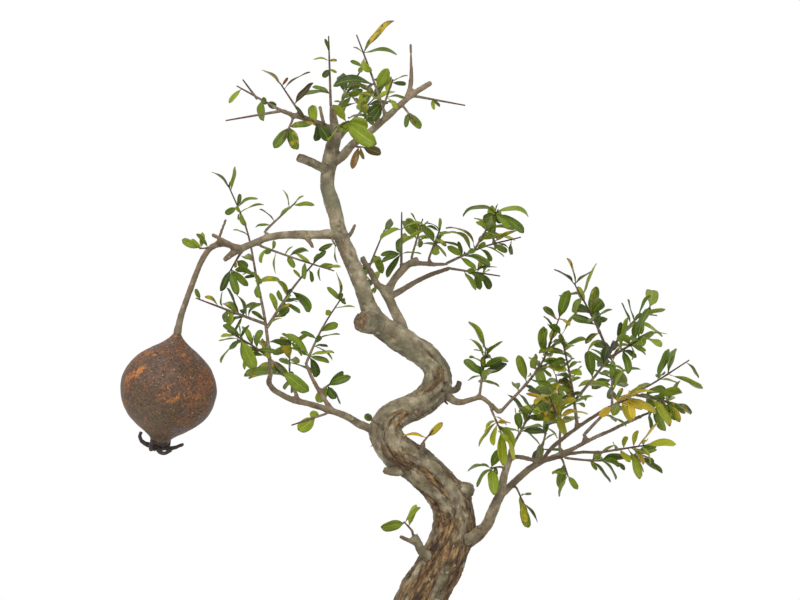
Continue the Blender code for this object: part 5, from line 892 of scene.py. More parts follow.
def aimed_leaf(rng, lines, seen, doubt):
    """A leaf that shows where one was read in the photo; with more doubt its tip may stray further."""
    across, down, tip_across, tip_down, width, arch = seen
    root = shown_root(lines, across, down)
    depth = root.y + rng.uniform(*SEEN_DEPTH) + doubt * rng.uniform(-STRAY_DEPTH, STRAY_DEPTH)
    stray = STRAY_PIXELS * doubt
    tip = photo_place(tip_across + rng.uniform(-stray, stray), tip_down + rng.uniform(-stray, stray), depth)
    chord = tip - root
    length = chord.length
    chord.normalize()
    seen_width = width * PIXEL
    full_width = max(seen_width, SEEN_SLIMNESS * length)
    above = (Vector((0, 0, 1)) - chord * chord.z).normalized()
    towards = chord.cross(above)
    if towards.y > 0:
        towards = -towards
    turn = math.acos(min(1.0, seen_width / full_width))
    face = towards * math.cos(turn) + above * math.sin(turn)
    half = arch / 2
    way = chord * math.cos(half) + face * math.sin(half)
    face = face * math.cos(half) - chord * math.sin(half)
    return root, way, face.cross(way), face, length * half / math.sin(half), full_width, arch


def on_leaf(leaf, share):
    """A point of a leaf's rib, and the blade's upward direction there."""
    root, way, side, face, length, width, arch = leaf
    bend = arch * share
    spot = root + (way * math.sin(bend) - face * (1 - math.cos(bend))) * length / arch
    return spot, face * math.cos(bend) + way * math.sin(bend)


def half_width(leaf, share):
    places = [place for place, _ in LEAF_RINGS] + [1.0]
    widths = [LEAF_ROOT_HALF] + [leaf[5] / 2 * part for _, part in LEAF_RINGS[1:]] + [LEAF_TIP_HALF]
    return float(np.interp(share, places, widths))


def leaf_points(leaf, shares):
    """Round spots that cover a leaf, as (x, y, z, radius) rows."""
    return np.array([[*on_leaf(leaf, share)[0], half_width(leaf, share)] for share in shares])


def leaf_tries(rng, lines, name):
    """For each leaf of a spray that its rule draws, a call that gives one more try at it."""
    pairs, tuft, size = SPRAYS[name]["leaves"]
    for line in lines:
        spots = [(PAIR_RUN[0] + PAIR_RUN[1] * (i + 0.5) / pairs, i * math.pi / 2 + j * math.pi, PAIR_SPREAD)
                 for i in range(pairs) for j in range(2)]
        spots += [(1.0, k * math.tau / max(tuft, 1), TUFT_SPREAD) for k in range(tuft)]
        for share, turn, spread in spots:
            if rng.random() >= LEAF_MISSING:
                spot, along = place_on(line, share)
                yield lambda _: draw_leaf(rng, spot, along, turn, spread, size)


def place_leaves():
    """The leaves of each spray, those read in the photo first, each tried until it hangs clear of the rest."""
    lines = {name: shoot_lines(name) for name in SPRAYS}
    shoots = {name: np.vstack([segments(line) for line in lines[name]]) for name in SPRAYS}
    grown = {name: [] for name in SPRAYS}
    blades = {name: np.empty((0, 8)) for name in SPRAYS}
    for by_eye in (True, False):
        for number, name in enumerate(SPRAYS):
            rng = random.Random(LEAF_SEED + number)
            others = [shoots[other] for other in SPRAYS if other != name]
            others += [blades[other] for other in SPRAYS if other != name]
            around = np.vstack([WOOD_ROWS, FRUIT_ROWS] + others)
            if by_eye:
                tries = [lambda doubt, seen=seen: aimed_leaf(rng, lines[name], seen, doubt)
                         for seen in SEEN_LEAVES.get(name, ())]
            else:
                tries = leaf_tries(rng, lines[name], name)
            for one_try in tries:
                for attempt in range(LEAF_TRIES):
                    leaf = one_try(attempt / LEAF_TRIES)
                    cover = leaf_points(leaf, LEAF_COVER)
                    within = np.abs(cover[:, 0]).max() < TREE_REACH
                    clear = within and air_to(cover, around) > LEAF_AIR
                    if clear and air_to(cover, blades[name]) > -OWN_OVERLAP * leaf[5]:
                        grown[name].append(leaf)
                        blades[name] = np.vstack([blades[name], segments(leaf_points(leaf, (0.3, 0.5, 0.75, 1.0)))])
                        break
    return lines, grown


def root_routes(extra):
    """The surface roots: each leaves the trunk's foot, runs out over the mound and dips into it.

    With extra they are that much thicker and longer, to cut the holes that they lie in.
    """
    routes = []
    x, y = MOUND_CENTRE
    for number, degrees in enumerate(ROOT_ANGLES):
        angle = math.radians(degrees)
        size = 1.0 + 0.16 * math.sin(2.4 * number)
        route = []
        for out, height, radius, swing in ((6, 96, 7.0, 0.0), (17, 87, 7.6, 0.02), (27, 78, 6.6, 0.1),
                                           (38, 70, 5.0, 0.24), (48, 62, 3.4, 0.3)):
            route.append((x + out * size * math.cos(angle + swing), y + out * size * math.sin(angle + swing),
                          height, radius * size))
        route = smooth_route(route, ROOT_STEP)
        route[:, 3] += extra
        if extra:
            end = route[-1].copy()
            end[:3] += (route[-1] - route[-2])[:3] / np.linalg.norm((route[-1] - route[-2])[:3]) * extra
            route = np.vstack([route, end])
        routes.append(route)
    return routes


print(len(LIMBS), "limbs,", len(SPRAYS), "sprays")

# %% [markdown]
# ## Bark
# The trunk, its limbs, the cut stubs and the surface roots grew as one piece. Building it limb by limb
# would leave hard joints, so tubes are grown along all the lines, a voxel remesh melts them into
# one skin, and smoothing rounds the crotches. Each point then learns how thick the wood is
# there and where it lies along the grain, which lets relief and colour follow the wood as bark does.

# %% Bark material
def bark_material():
    """Grey-olive bark with tan flaky patches, dark cracks and pale cut faces."""
    made, tree, shader, place = start_material("bark")
    girth = node(tree, "ShaderNodeAttribute", attribute_name="girth").outputs["Fac"]
    grain = node(tree, "ShaderNodeAttribute", attribute_name="grain").outputs["Vector"]
    cut = node(tree, "ShaderNodeAttribute", attribute_name="cut").outputs["Fac"]
    height = node(tree, "ShaderNodeSeparateXYZ", {0: place}).outputs["Z"]
    thick = mask(tree, girth, 2.5, 8.0)
    low = mask(tree, height, 0.30, 0.13)

    cloud = grain_noise(tree, place, 95.0, 6.0, 0.62)
    plain = ramp(tree, cloud, [(0.30, looks(78, 70, 54)), (0.43, looks(120, 108, 84)), (0.55, looks(152, 139, 110)),
                               (0.70, looks(196, 184, 152))])
    tint = grain_noise(tree, place, 34.0, 3.0)
    olive = mask(tree, tint, 0.50, 0.66)
    plain = blend_colours(tree, olive, plain, blend_colours(tree, 0.6, plain, looks(112, 112, 84)))

    fine = grain_noise(tree, grain, 420.0, 8.0, 0.72)
    flaky = ramp(tree, fine, [(0.33, looks(38, 27, 18)), (0.44, looks(92, 66, 40)), (0.53, looks(150, 114, 70)),
                              (0.62, looks(190, 152, 98)), (0.74, looks(222, 196, 146))])
    patch = grain_noise(tree, grain, 85.0, 6.0, 0.66)
    edge = maths(tree, "SUBTRACT", 0.565, maths(tree, "MULTIPLY", low, 0.12))
    amount = mask(tree, maths(tree, "SUBTRACT", patch, edge), -0.03, 0.05)
    amount = maths(tree, "MULTIPLY", amount, thick)
    colour = blend_colours(tree, amount, plain, flaky)

    crack = node(tree, "ShaderNodeTexVoronoi", {"Vector": grain, "Scale": 150.0, "Detail": 2.0},
                 feature="DISTANCE_TO_EDGE").outputs["Distance"]
    dark = maths(tree, "MULTIPLY", mask(tree, crack, 0.10, 0.0), maths(tree, "MULTIPLY", thick, 0.75))
    speck = mask(tree, grain_noise(tree, place, 260.0, 3.0), 0.60, 0.70)
    colour = blend_colours(tree, maths(tree, "MULTIPLY", dark, amount), colour, looks(44, 33, 24))
    colour = blend_colours(tree, maths(tree, "MULTIPLY", speck, 0.55), colour, looks(70, 56, 40))

    lichen = mask(tree, grain_noise(tree, place, 150.0, 2.0), 0.66, 0.72)
    colour = blend_colours(tree, maths(tree, "MULTIPLY", lichen, 0.6), colour, looks(205, 200, 176))
    young = mask(tree, girth, 3.6, 1.4)
    colour = blend_colours(tree, maths(tree, "MULTIPLY", young, 0.60), colour, looks(116, 90, 66))
    rings = grain_noise(tree, place, 520.0, 3.0)
    pale = ramp(tree, rings, [(0.35, looks(84, 66, 46)), (0.6, looks(132, 108, 76)), (0.8, looks(170, 148, 110))])
    colour = blend_colours(tree, cut, colour, pale)
    tree.links.new(colour, shader.inputs["Base Color"])

    shader.inputs["Roughness"].default_value = 0.82
    rough = maths(tree, "MULTIPLY", fine, maths(tree, "ADD", amount, 0.35))
    height = maths(tree, "ADD", maths(tree, "MULTIPLY", cloud, 0.6), rough)
    raise_relief(tree, shader, height, 0.0016)
    return made


bark = bark_material()
print("bark made of", len(bark.node_tree.nodes), "nodes")

# %% Tubes along the wood lines
WOOD_SIDES = 22
WOOD_READ = 3.0            # spacing of the points that the tubes pass, in mm
VOXEL = 1.05
VOXEL_ROUNDS = 5           # smoothing steps after the remesh


def tube_tree():
    """A tube of the line's own radius along each curve."""
    tree, given, end = start_tree("Tube along a line", {"Sides": ("Int", 12), "Swell": ("Float", 1.0)})
    around = node(tree, "GeometryNodeCurvePrimitiveCircle", {"Resolution": given.outputs["Sides"], "Radius": 1.0})
    size = maths(tree, "MULTIPLY", tree.nodes.new("GeometryNodeInputRadius").outputs[0], given.outputs["Swell"])
    skin = node(tree, "GeometryNodeCurveToMesh", {"Curve": given.outputs[0], "Profile Curve": around.outputs[0],
                                                  "Scale": size, "Fill Caps": True})
    return end(skin.outputs[0])


def lines_object(name, routes):
    """One curve object that holds routes of (x, y, z, radius) rows in millimetres."""
    curve = bpy.data.curves.new(name, "CURVE")
    curve.dimensions = "3D"
    for route in routes:
        spline = curve.splines.new("POLY")
        spline.points.add(len(route) - 1)
        for point, (x, y, z, radius) in zip(spline.points, route):
            point.co = (x * MM, y * MM, z * MM, 1.0)
            point.radius = radius * MM
    made = bpy.data.objects.new(name, curve)
    bpy.context.scene.collection.objects.link(made)
    return made


tubes = tube_tree()
FINE_LINES = [smooth_route(TRUNK_ROUTE, WOOD_READ)]
FINE_LINES += [smooth_route(points, WOOD_READ) for points in LIMBS.values()]
FINE_LINES += [smooth_route(route, WOOD_READ) for route in root_routes(0.0)]
for name, spray in SPRAYS.items():
    spur = spray_foot(spray["stems"][0], spray["root"])[0]
    if spur is not None:
        FINE_LINES.append(smooth_route(spur, WOOD_READ))
wood = lines_object("wood_lines", FINE_LINES)
grow(wood, tubes, bark, Sides=WOOD_SIDES)
wood = settle(wood, "wood_tubes", bark)
melt = wood.modifiers.new("melt", "REMESH")
melt.mode = "VOXEL"
melt.voxel_size = VOXEL * MM
round_off = wood.modifiers.new("round_off", "SMOOTH")
round_off.factor = 0.5
round_off.iterations = VOXEL_ROUNDS
wood = settle(wood, "bark_skin", bark)
print(len(FINE_LINES), "lines melted into", len(wood.data.vertices), "points")

# %% Where each point of the bark lies
END_NEAR = 1.25            # a cut face reaches this many radii from its line's end
GRAIN_SQUEEZE = 0.30       # bark marks are this much shorter across the grain than along it
CUT_LINES = ("knob_cut", "stub_low_left", "stub_sprout", "stub_sprout_arm", "stub_limb_foot", "stub_crown_left",
             "cut_twig_left", "cut_twig_up", "crown_right_stub", "crown_stub", "stub_spur_right")


def carried_frames(line):
    """Directions along a line and one direction across it that turns as little as it can."""
    along = np.gradient(line[:, :3], axis=0)
    along /= np.linalg.norm(along, axis=1)[:, None]
    across = [np.array(Vector(along[0]).orthogonal().normalized())]
    for way in along[1:]:
        kept = across[-1] - way * (across[-1] @ way)
        across.append(kept / np.linalg.norm(kept))
    return along, np.array(across)


def read_bark(mesh):
    """The points of the bark, with the girth and place along the grain for each."""
    spots = np.empty(len(mesh.vertices) * 3)
    mesh.vertices.foreach_get("co", spots)
    spots = spots.reshape(-1, 3) / MM
    axis, radius, along, across, run = [], [], [], [], []
    for number, line in enumerate(FINE_LINES):
        way, side = carried_frames(line)
        steps = np.linalg.norm(np.diff(line[:, :3], axis=0), axis=1)
        axis.append(line[:, :3])
        radius.append(line[:, 3])
        along.append(way)
        across.append(side)
        run.append(np.concatenate([[0.0], np.cumsum(steps)]) + 137.0 * number)
    axis, radius, along, across, run = (np.concatenate(part) for part in (axis, radius, along, across, run))
    girth = np.empty(len(spots))
    grain = np.empty((len(spots), 3))
    for start in range(0, len(spots), 4000):
        some = spots[start:start + 4000]
        reach = np.linalg.norm(some[:, None] - axis[None], axis=2)
        best = (reach - radius[None]).argmin(1)
        off = some - axis[best]
        girth[start:start + 4000] = radius[best]
        third = np.cross(along[best], across[best])
        grain[start:start + 4000] = np.column_stack([
            (off * across[best]).sum(1), (off * third).sum(1),
            (run[best] + (off * along[best]).sum(1)) * GRAIN_SQUEEZE])
    return spots, girth, grain * MM


def read_cuts(mesh, spots):
    """1 on the pale faces where a stub was cut."""
    ways = np.empty(len(spots) * 3)
    mesh.vertices.foreach_get("normal", ways)
    ways = ways.reshape(-1, 3)
    cut = np.zeros(len(spots))
    for name in CUT_LINES:
        line = smooth_route(LIMBS[name], WOOD_READ)
        ahead = (line[-1] - line[-2])[:3]
        ahead /= np.linalg.norm(ahead)
        off = spots - line[-1, :3]
        near = np.linalg.norm(off, axis=1) < END_NEAR * line[-1, 3]
        cut[near & (off @ ahead > -1.2) & (ways @ ahead > 0.75)] = 1.0
    return cut


def store(mesh, name, kind, values):
    """Keeps one value a point on a mesh."""
    mesh.attributes.new(name, kind, "POINT").data.foreach_set("value" if kind == "FLOAT" else "vector", values.ravel())


spots, girth, grain = read_bark(wood.data)
store(wood.data, "girth", "FLOAT", girth)
store(wood.data, "grain", "FLOAT_VECTOR", grain)
store(wood.data, "cut", "FLOAT", read_cuts(wood.data, spots))
print("girth from", round(girth.min(), 1), "to", round(girth.max(), 1), "mm")

# %% Bark relief
def relief_tree():
    """Pushes the skin in and out: broad swellings, ridges along the grain and flakes, less on thin wood."""
    tree, given, end = start_tree("Bark relief", {"Swelling": ("Float", 1.0), "Ridge": ("Float", 0.5),
                                                  "Flake": ("Float", 0.4), "Seed": ("Float", 3.0)})
    girth = node(tree, "GeometryNodeInputNamedAttribute", {"Name": "girth"}, data_type="FLOAT").outputs[0]
    grain = node(tree, "GeometryNodeInputNamedAttribute", {"Name": "grain"}, data_type="FLOAT_VECTOR").outputs[0]
    cut = node(tree, "GeometryNodeInputNamedAttribute", {"Name": "cut"}, data_type="FLOAT").outputs[0]
    place = tree.nodes.new("GeometryNodeInputPosition").outputs[0]
    place = vectors(tree, "ADD", place, node(tree, "ShaderNodeCombineXYZ", {0: given.outputs["Seed"]}).outputs[0])
    share = node(tree, "ShaderNodeMapRange", {0: girth, 1: 1.0, 2: 11.0, 3: 0.12, 4: 1.0}).outputs[0]

    def wave(where, scale, detail, depth):
        level = maths(tree, "SUBTRACT", grain_noise(tree, where, scale, detail, 0.6), 0.5)
        return maths(tree, "MULTIPLY", level, maths(tree, "MULTIPLY", depth, 2.0 * MM))

    ridges = maths(tree, "ABSOLUTE", maths(tree, "SUBTRACT", grain_noise(tree, grain, 190.0, 3.0), 0.5))
    ridges = maths(tree, "MULTIPLY", maths(tree, "SUBTRACT", 0.08, ridges), maths(tree, "MULTIPLY",
                                                                                 given.outputs["Ridge"], 9.0 * MM))
    total = maths(tree, "ADD", wave(place, 55.0, 2.0, given.outputs["Swelling"]), ridges)
    total = maths(tree, "ADD", total, wave(place, 330.0, 2.0, given.outputs["Flake"]))
    total = maths(tree, "MULTIPLY", total, share)
    total = maths(tree, "MULTIPLY", total, maths(tree, "SUBTRACT", 1.0, cut))
    normal = tree.nodes.new("GeometryNodeInputNormal").outputs[0]
    moved = node(tree, "GeometryNodeSetPosition", {"Geometry": given.outputs[0], "Offset": scaled(tree, normal, total)})
    return end(moved.outputs[0])


grow(wood, relief_tree(), bark, Swelling=2.0, Ridge=1.0, Flake=0.55)
wood = settle(wood, "bark_wood", bark)
hand_over(wood, "bark", "trunk")

# %% [markdown]
# ## Spurs on the bark
# Old buds and short thorns stand out of the bark, mostly on the underside of the bends. They are
# scattered on the finished skin, where a rule picks thick wood that faces down, and each one is a
# small cone.

# %% Scatter the spurs
def spur_tree():
    """Small cones on the underside of thick wood."""
    tree, given, end = start_tree("Bark spurs", {"Density": ("Float", 2600.0), "Length": ("Float", 0.002),
                                                 "Seed": ("Int", 5)})
    girth = node(tree, "GeometryNodeInputNamedAttribute", {"Name": "girth"}, data_type="FLOAT").outputs[0]
    normal = tree.nodes.new("GeometryNodeInputNormal").outputs[0]
    down = mask(tree, node(tree, "ShaderNodeSeparateXYZ", {0: normal}).outputs["Z"], 0.45, -0.6)
    share = maths(tree, "MULTIPLY", down, mask(tree, girth, 4.0, 8.0))
    cluster = mask(tree, grain_noise(tree, tree.nodes.new("GeometryNodeInputPosition").outputs[0], 60.0), 0.45, 0.6)
    share = maths(tree, "MULTIPLY", share, cluster)
    spread = node(tree, "GeometryNodeDistributePointsOnFaces",
                  {"Mesh": given.outputs[0], "Distance Min": 0.0025, "Density Max": given.outputs["Density"],
                   "Density Factor": share, "Seed": given.outputs["Seed"]}, distribute_method="POISSON")
    cone = node(tree, "GeometryNodeMeshCone", {"Vertices": 6, "Radius Top": 0.18, "Radius Bottom": 0.42, "Depth": 1.6})
    size = node(tree, "FunctionNodeRandomValue", {2: 0.5, 3: 1.3, "Seed": given.outputs["Seed"]}, data_type="FLOAT")
    size = maths(tree, "MULTIPLY", size.outputs[1], given.outputs["Length"])
    copies = node(tree, "GeometryNodeInstanceOnPoints", {"Points": spread.outputs[0], "Instance": cone.outputs[0],
                                                         "Rotation": spread.outputs["Rotation"], "Scale": size})
    return end(copies.outputs[0])


def spur_material():
    """Dark dry wood."""
    made, tree, shader, place = start_material("dark_spur")
    cloud = grain_noise(tree, place, 700.0, 4.0)
    tree.links.new(ramp(tree, cloud, [(0.3, looks(34, 26, 20)), (0.7, looks(98, 76, 54))]), shader.inputs["Base Color"])
    shader.inputs["Roughness"].default_value = 0.8
    raise_relief(tree, shader, cloud, 0.0004)
    return made


spur_surface = spur_material()
skin = bpy.data.objects.new("skin_copy", wood.data.copy())
bpy.context.scene.collection.objects.link(skin)
grow(skin, spur_tree(), spur_surface)
hand_over(settle(skin, "bark_spurs", spur_surface), "bark")

# %% [markdown]
# ## Shoots
# New wood is thin, smooth and dark red-brown, greyer towards its root. Each shoot is a tube along its
# own line with a swelling where every pair of leaves leaves it.

# %% Shoot material
def shoot_material():
    """Smooth red-brown young bark, greyer where it is older."""
    made, tree, shader, place = start_material("shoot_bark")
    age = node(tree, "ShaderNodeAttribute", attribute_name="age").outputs["Fac"]
    cloud = grain_noise(tree, place, 380.0, 4.0)
    old = ramp(tree, cloud, [(0.3, looks(84, 66, 50)), (0.55, looks(124, 104, 80)), (0.75, looks(158, 142, 112))])
    new = ramp(tree, cloud, [(0.3, looks(58, 26, 24)), (0.55, looks(92, 46, 36)), (0.75, looks(124, 84, 48))])
    mixed = blend_colours(tree, mask(tree, maths(tree, "ADD", age, maths(tree, "MULTIPLY", cloud, 0.3)), 0.2, 0.65), new, old)
    tree.links.new(mixed, shader.inputs["Base Color"])
    shader.inputs["Roughness"].default_value = 0.55
    raise_relief(tree, shader, cloud, 0.0004)
    return made


shoot_bark = shoot_material()
SHOOT_SHARE = 0.80         # the finished shoot is a little finer than its solid
SHOOT_SIDES = 9
SHOOT_READ = 2.0


def region_of(name):
    """Which part of the tree a spray belongs to."""
    for region in ("crown", "second", "right", "trunk"):
        if name.startswith(region):
            return region
    return "crown" if name == "top" else "left"


def fine_shoots(name):
    """A spray's shoots read finely, sunk a little into the wood that carries them, with bud swellings."""
    pairs = SPRAYS[name]["leaves"][0]
    lines = []
    for number, rough in enumerate(shoot_lines(name)):
        line = rough.copy()
        if number == 0:
            line[0, :3] -= (line[1, :3] - line[0, :3]) / np.linalg.norm(line[1, :3] - line[0, :3]) * 1.6
        line = smooth_route(line, SHOOT_READ)
        share = np.linspace(0.0, 1.0, len(line))
        line[:, 3] *= SHOOT_SHARE * (1.0 - 0.25 * share)
        for i in range(pairs):
            bud = 0.24 + 0.68 * (i + 0.5) / pairs
            line[:, 3] *= 1.0 + 0.35 * np.exp(-((share - bud) * len(line) / 0.8) ** 2)
        lines.append(line)
    return lines


def make_shoots(region):
    """All shoots of one part of the tree, with their age from root to tip kept for the material."""
    names = [name for name in SPRAYS if region_of(name) == region]
    routes = [line for name in names for line in fine_shoots(name)]
    shoots = lines_object("shoot_lines", routes)
    grow(shoots, tubes, shoot_bark, Sides=SHOOT_SIDES)
    piece = settle(shoots, "shoots_" + region, shoot_bark)
    spots = np.empty(len(piece.data.vertices) * 3)
    piece.data.vertices.foreach_get("co", spots)
    spots = spots.reshape(-1, 3) / MM
    axis = np.concatenate([line[:, :3] for line in routes])
    age = np.concatenate([np.linspace(1.0, 0.0, len(line)) ** 1.5 for line in routes])
    nearest = np.linalg.norm(spots[:, None] - axis[None], axis=2).argmin(1)
    store(piece.data, "age", "FLOAT", age[nearest])
    hand_over(piece, "bark", *("spray_" + name for name in names))


REGIONS = ("crown", "left", "trunk", "second", "right")
for region in REGIONS:
    make_shoots(region)

# %% [markdown]
# ## Leaves
# A pomegranate leaf is oblong, glossy and blunt, folded a little along its rib and arched. The
# blade is one small grid, copied to every place where a leaf grows. A formula then bends each copy: every
# leaf has its own direction, length, width, arch, twist and wave, which are kept on the
# points that the grid is copied to. This is far lighter than modelling leaves one by one.

# %% Leaf tree
BLADE_ACROSS = 5
BLADE_ALONG = 12
OUTLINE = ((0.0, 0.05), (0.07, 0.08), (0.18, 0.36), (0.36, 0.84), (0.55, 1.0), (0.76, 0.95), (0.92, 0.66), (1.0, 0.14))


def leaf_tree():
    """Copies a blade to each point and bends it by the numbers kept there."""
    tree, given, end = start_tree("Leaf blades", {"Fold": ("Float", 0.30), "Wave": ("Float", 0.022)})

    def kept(name, kind):
        return node(tree, "GeometryNodeInputNamedAttribute", {"Name": name}, data_type=kind).outputs[0]

    grid = node(tree, "GeometryNodeMeshGrid", {"Size X": 2.0, "Size Y": 1.0, "Vertices X": BLADE_ACROSS,
                                               "Vertices Y": BLADE_ALONG})
    flat = node(tree, "ShaderNodeSeparateXYZ", {0: tree.nodes.new("GeometryNodeInputPosition").outputs[0]})
    blade = grid.outputs[0]
    for name, value in (("across", flat.outputs["X"]), ("along", maths(tree, "ADD", flat.outputs["Y"], 0.5))):
        blade = node(tree, "GeometryNodeStoreNamedAttribute", {"Geometry": blade, "Name": name, "Value": value},
                     data_type="FLOAT", domain="POINT").outputs[0]
    copies = node(tree, "GeometryNodeInstanceOnPoints", {"Points": given.outputs[0], "Instance": blade})
    copies = node(tree, "GeometryNodeRealizeInstances", {0: copies.outputs[0]}).outputs[0]

    across, along = kept("across", "FLOAT"), kept("along", "FLOAT")
    way, side, face = (kept(name, "FLOAT_VECTOR") for name in ("way", "side", "face"))
    length, width, arch = (kept(name, "FLOAT") for name in ("length", "width", "arch"))
    phase, twist = kept("phase", "FLOAT"), kept("twist", "FLOAT")

    bend = maths(tree, "MULTIPLY", arch, along)
    sine, cosine = maths(tree, "SINE", bend), maths(tree, "COSINE", bend)
    forward = vectors(tree, "SUBTRACT", scaled(tree, way, sine), scaled(tree, face, maths(tree, "SUBTRACT", 1.0, cosine)))
    rib = vectors(tree, "ADD", kept("root", "FLOAT_VECTOR"), scaled(tree, forward, maths(tree, "DIVIDE", length, arch)))
    up = vectors(tree, "ADD", scaled(tree, face, cosine), scaled(tree, way, sine))

    shape = node(tree, "ShaderNodeFloatCurve", {"Value": along})
    curve = shape.mapping.curves[0]
    for place, share in OUTLINE[1:-1]:
        curve.points.new(place, share)
    for point, (place, share) in zip(curve.points, OUTLINE):
        point.location = (place, share)
    shape.mapping.update()
    half = maths(tree, "MULTIPLY", shape.outputs[0], maths(tree, "MULTIPLY", width, 0.5))

    turn = maths(tree, "MULTIPLY", twist, along)
    over = vectors(tree, "ADD", scaled(tree, side, maths(tree, "COSINE", turn)), scaled(tree, up, maths(tree, "SINE", turn)))
    lift = vectors(tree, "SUBTRACT", scaled(tree, up, maths(tree, "COSINE", turn)), scaled(tree, side, maths(tree, "SINE", turn)))
    edge = maths(tree, "ABSOLUTE", across)
    ripple = maths(tree, "SINE", maths(tree, "ADD", maths(tree, "MULTIPLY", along, 9.0), phase))
    ripple = maths(tree, "MULTIPLY", maths(tree, "MULTIPLY", ripple, given.outputs["Wave"]), length)
    fold = maths(tree, "MULTIPLY", half, given.outputs["Fold"])
    raised = maths(tree, "MULTIPLY", edge, maths(tree, "ADD", fold, maths(tree, "MULTIPLY", edge, ripple)))
    spot = vectors(tree, "ADD", rib, scaled(tree, over, maths(tree, "MULTIPLY", across, half)))
    spot = vectors(tree, "ADD", spot, scaled(tree, lift, raised))
    moved = node(tree, "GeometryNodeSetPosition", {"Geometry": copies, "Position": spot})
    return end(moved.outputs[0])


blades = leaf_tree()
print("one blade has", (BLADE_ACROSS - 1) * (BLADE_ALONG - 1), "faces a side")

# %% Leaf materials
def leaf_material(name, young, ripe, dark, gold, gold_share):
    """A glossy blade: its own shade, a pale rib, side veins, and yellow or brown where it has aged."""
    made, tree, shader, place = start_material(name)

    def kept(title):
        return node(tree, "ShaderNodeAttribute", attribute_name=title).outputs["Fac"]

    across, along, shade, years = kept("across"), kept("along"), kept("shade"), kept("years")
    edge = maths(tree, "ABSOLUTE", across)
    cloud = grain_noise(tree, place, 210.0, 5.0)
    mixed = maths(tree, "ADD", shade, maths(tree, "MULTIPLY", maths(tree, "SUBTRACT", cloud, 0.5), 0.5))
    colour = ramp(tree, mixed, [(0.1, dark), (0.5, ripe), (0.9, young)])
    aged = maths(tree, "ADD", years, maths(tree, "MULTIPLY", maths(tree, "SUBTRACT", cloud, 0.5), 0.7))
    aged = mask(tree, aged, 1.0 - gold_share, 1.0 - gold_share + 0.15)
    colour = blend_colours(tree, aged, colour, gold)
    tip = mask(tree, maths(tree, "ADD", along, maths(tree, "MULTIPLY", cloud, 0.35)), 1.08, 1.22)
    rim = mask(tree, maths(tree, "ADD", edge, maths(tree, "MULTIPLY", cloud, 0.5)), 1.18, 1.40)
    brown = maths(tree, "MULTIPLY", maths(tree, "MAXIMUM", tip, rim), mask(tree, years, 0.35, 0.75))
    colour = blend_colours(tree, maths(tree, "MULTIPLY", brown, 0.85), colour, looks(108, 62, 34))
    veins = maths(tree, "ADD", maths(tree, "MULTIPLY", along, 13.0), maths(tree, "MULTIPLY", edge, -2.6))
    veins = maths(tree, "ABSOLUTE", maths(tree, "SUBTRACT", maths(tree, "FRACT", veins), 0.5))
    veins = maths(tree, "MULTIPLY", mask(tree, veins, 0.12, 0.0), 0.14)
    rib = maths(tree, "MULTIPLY", mask(tree, edge, 0.14, 0.03), 0.45)
    pale = blend_colours(tree, 0.45, young, looks(206, 206, 120))
    colour = blend_colours(tree, maths(tree, "MAXIMUM", veins, rib), colour, pale)
    tree.links.new(colour, shader.inputs["Base Color"])
    tree.links.new(maths(tree, "ADD", 0.30, maths(tree, "MULTIPLY", cloud, 0.22)), shader.inputs["Roughness"])
    shader.inputs["Specular IOR Level"].default_value = 0.24
    relief = maths(tree, "ADD", maths(tree, "MULTIPLY", maths(tree, "MAXIMUM", veins, rib), -1.0), maths(tree, "MULTIPLY", cloud, 0.5))
    raise_relief(tree, shader, relief, 0.0005)
    return made


GOLD = looks(212, 168, 34)
LEAF_SURFACES = {
    "green": leaf_material("leaf_green", looks(150, 164, 34), looks(100, 124, 22), looks(54, 74, 16), GOLD, 0.07),
    "lime": leaf_material("leaf_lime", looks(186, 188, 30), looks(150, 160, 24), looks(104, 124, 22), GOLD, 0.20),
    "gold": leaf_material("leaf_gold", looks(206, 178, 40), looks(160, 150, 30), looks(104, 118, 26), GOLD, 0.40),
    "bronze": leaf_material("leaf_bronze", looks(140, 126, 44), looks(98, 84, 32), looks(66, 54, 28), looks(116, 66, 34), 0.5),
}
print(len(LEAF_SURFACES), "leaf surfaces")

# %% Where the leaves grow
FILL_SEED = 41
FILL_SIZE = (0.6, 1.0)    # the smaller leaves between the main ones, as a share of their length
FILL_PLACES = 4            # tries for smaller leaves beside each pair
FILL_MORE = {              # tries on shoots whose main leaves were listed, and the stretch they grow on
    "tall_left": (9, 0.10, 0.62), "mid_left_low": (9, 0.25, 0.95), "mid_left_behind": (10, 0.2, 1.0),
    "mid_left_up": (4, 0.2, 0.5), "thin_droop": (5, 0.3, 1.0), "crown_mid": (3, 0.1, 0.5), "crown_second": (6, 0.1, 0.6),
    "crown_front": (3, 0.2, 1.0), "crown_inner": (5, 0.3, 1.0), "second_long": (7, 0.1, 0.6), "second_mid": (6, 0.1, 0.8),
    "second_lean": (6, 0.1, 0.8), "second_upright": (3, 0.1, 0.4), "second_fork": (5, 0.2, 0.7),
}
BLADE_BREADTH = (0.80, 1.04)   # a finished blade's breadth, as a share of its plain solid's
BLADE_LENGTH = 0.97        # and its length, so that no tip leaves the tree's own box


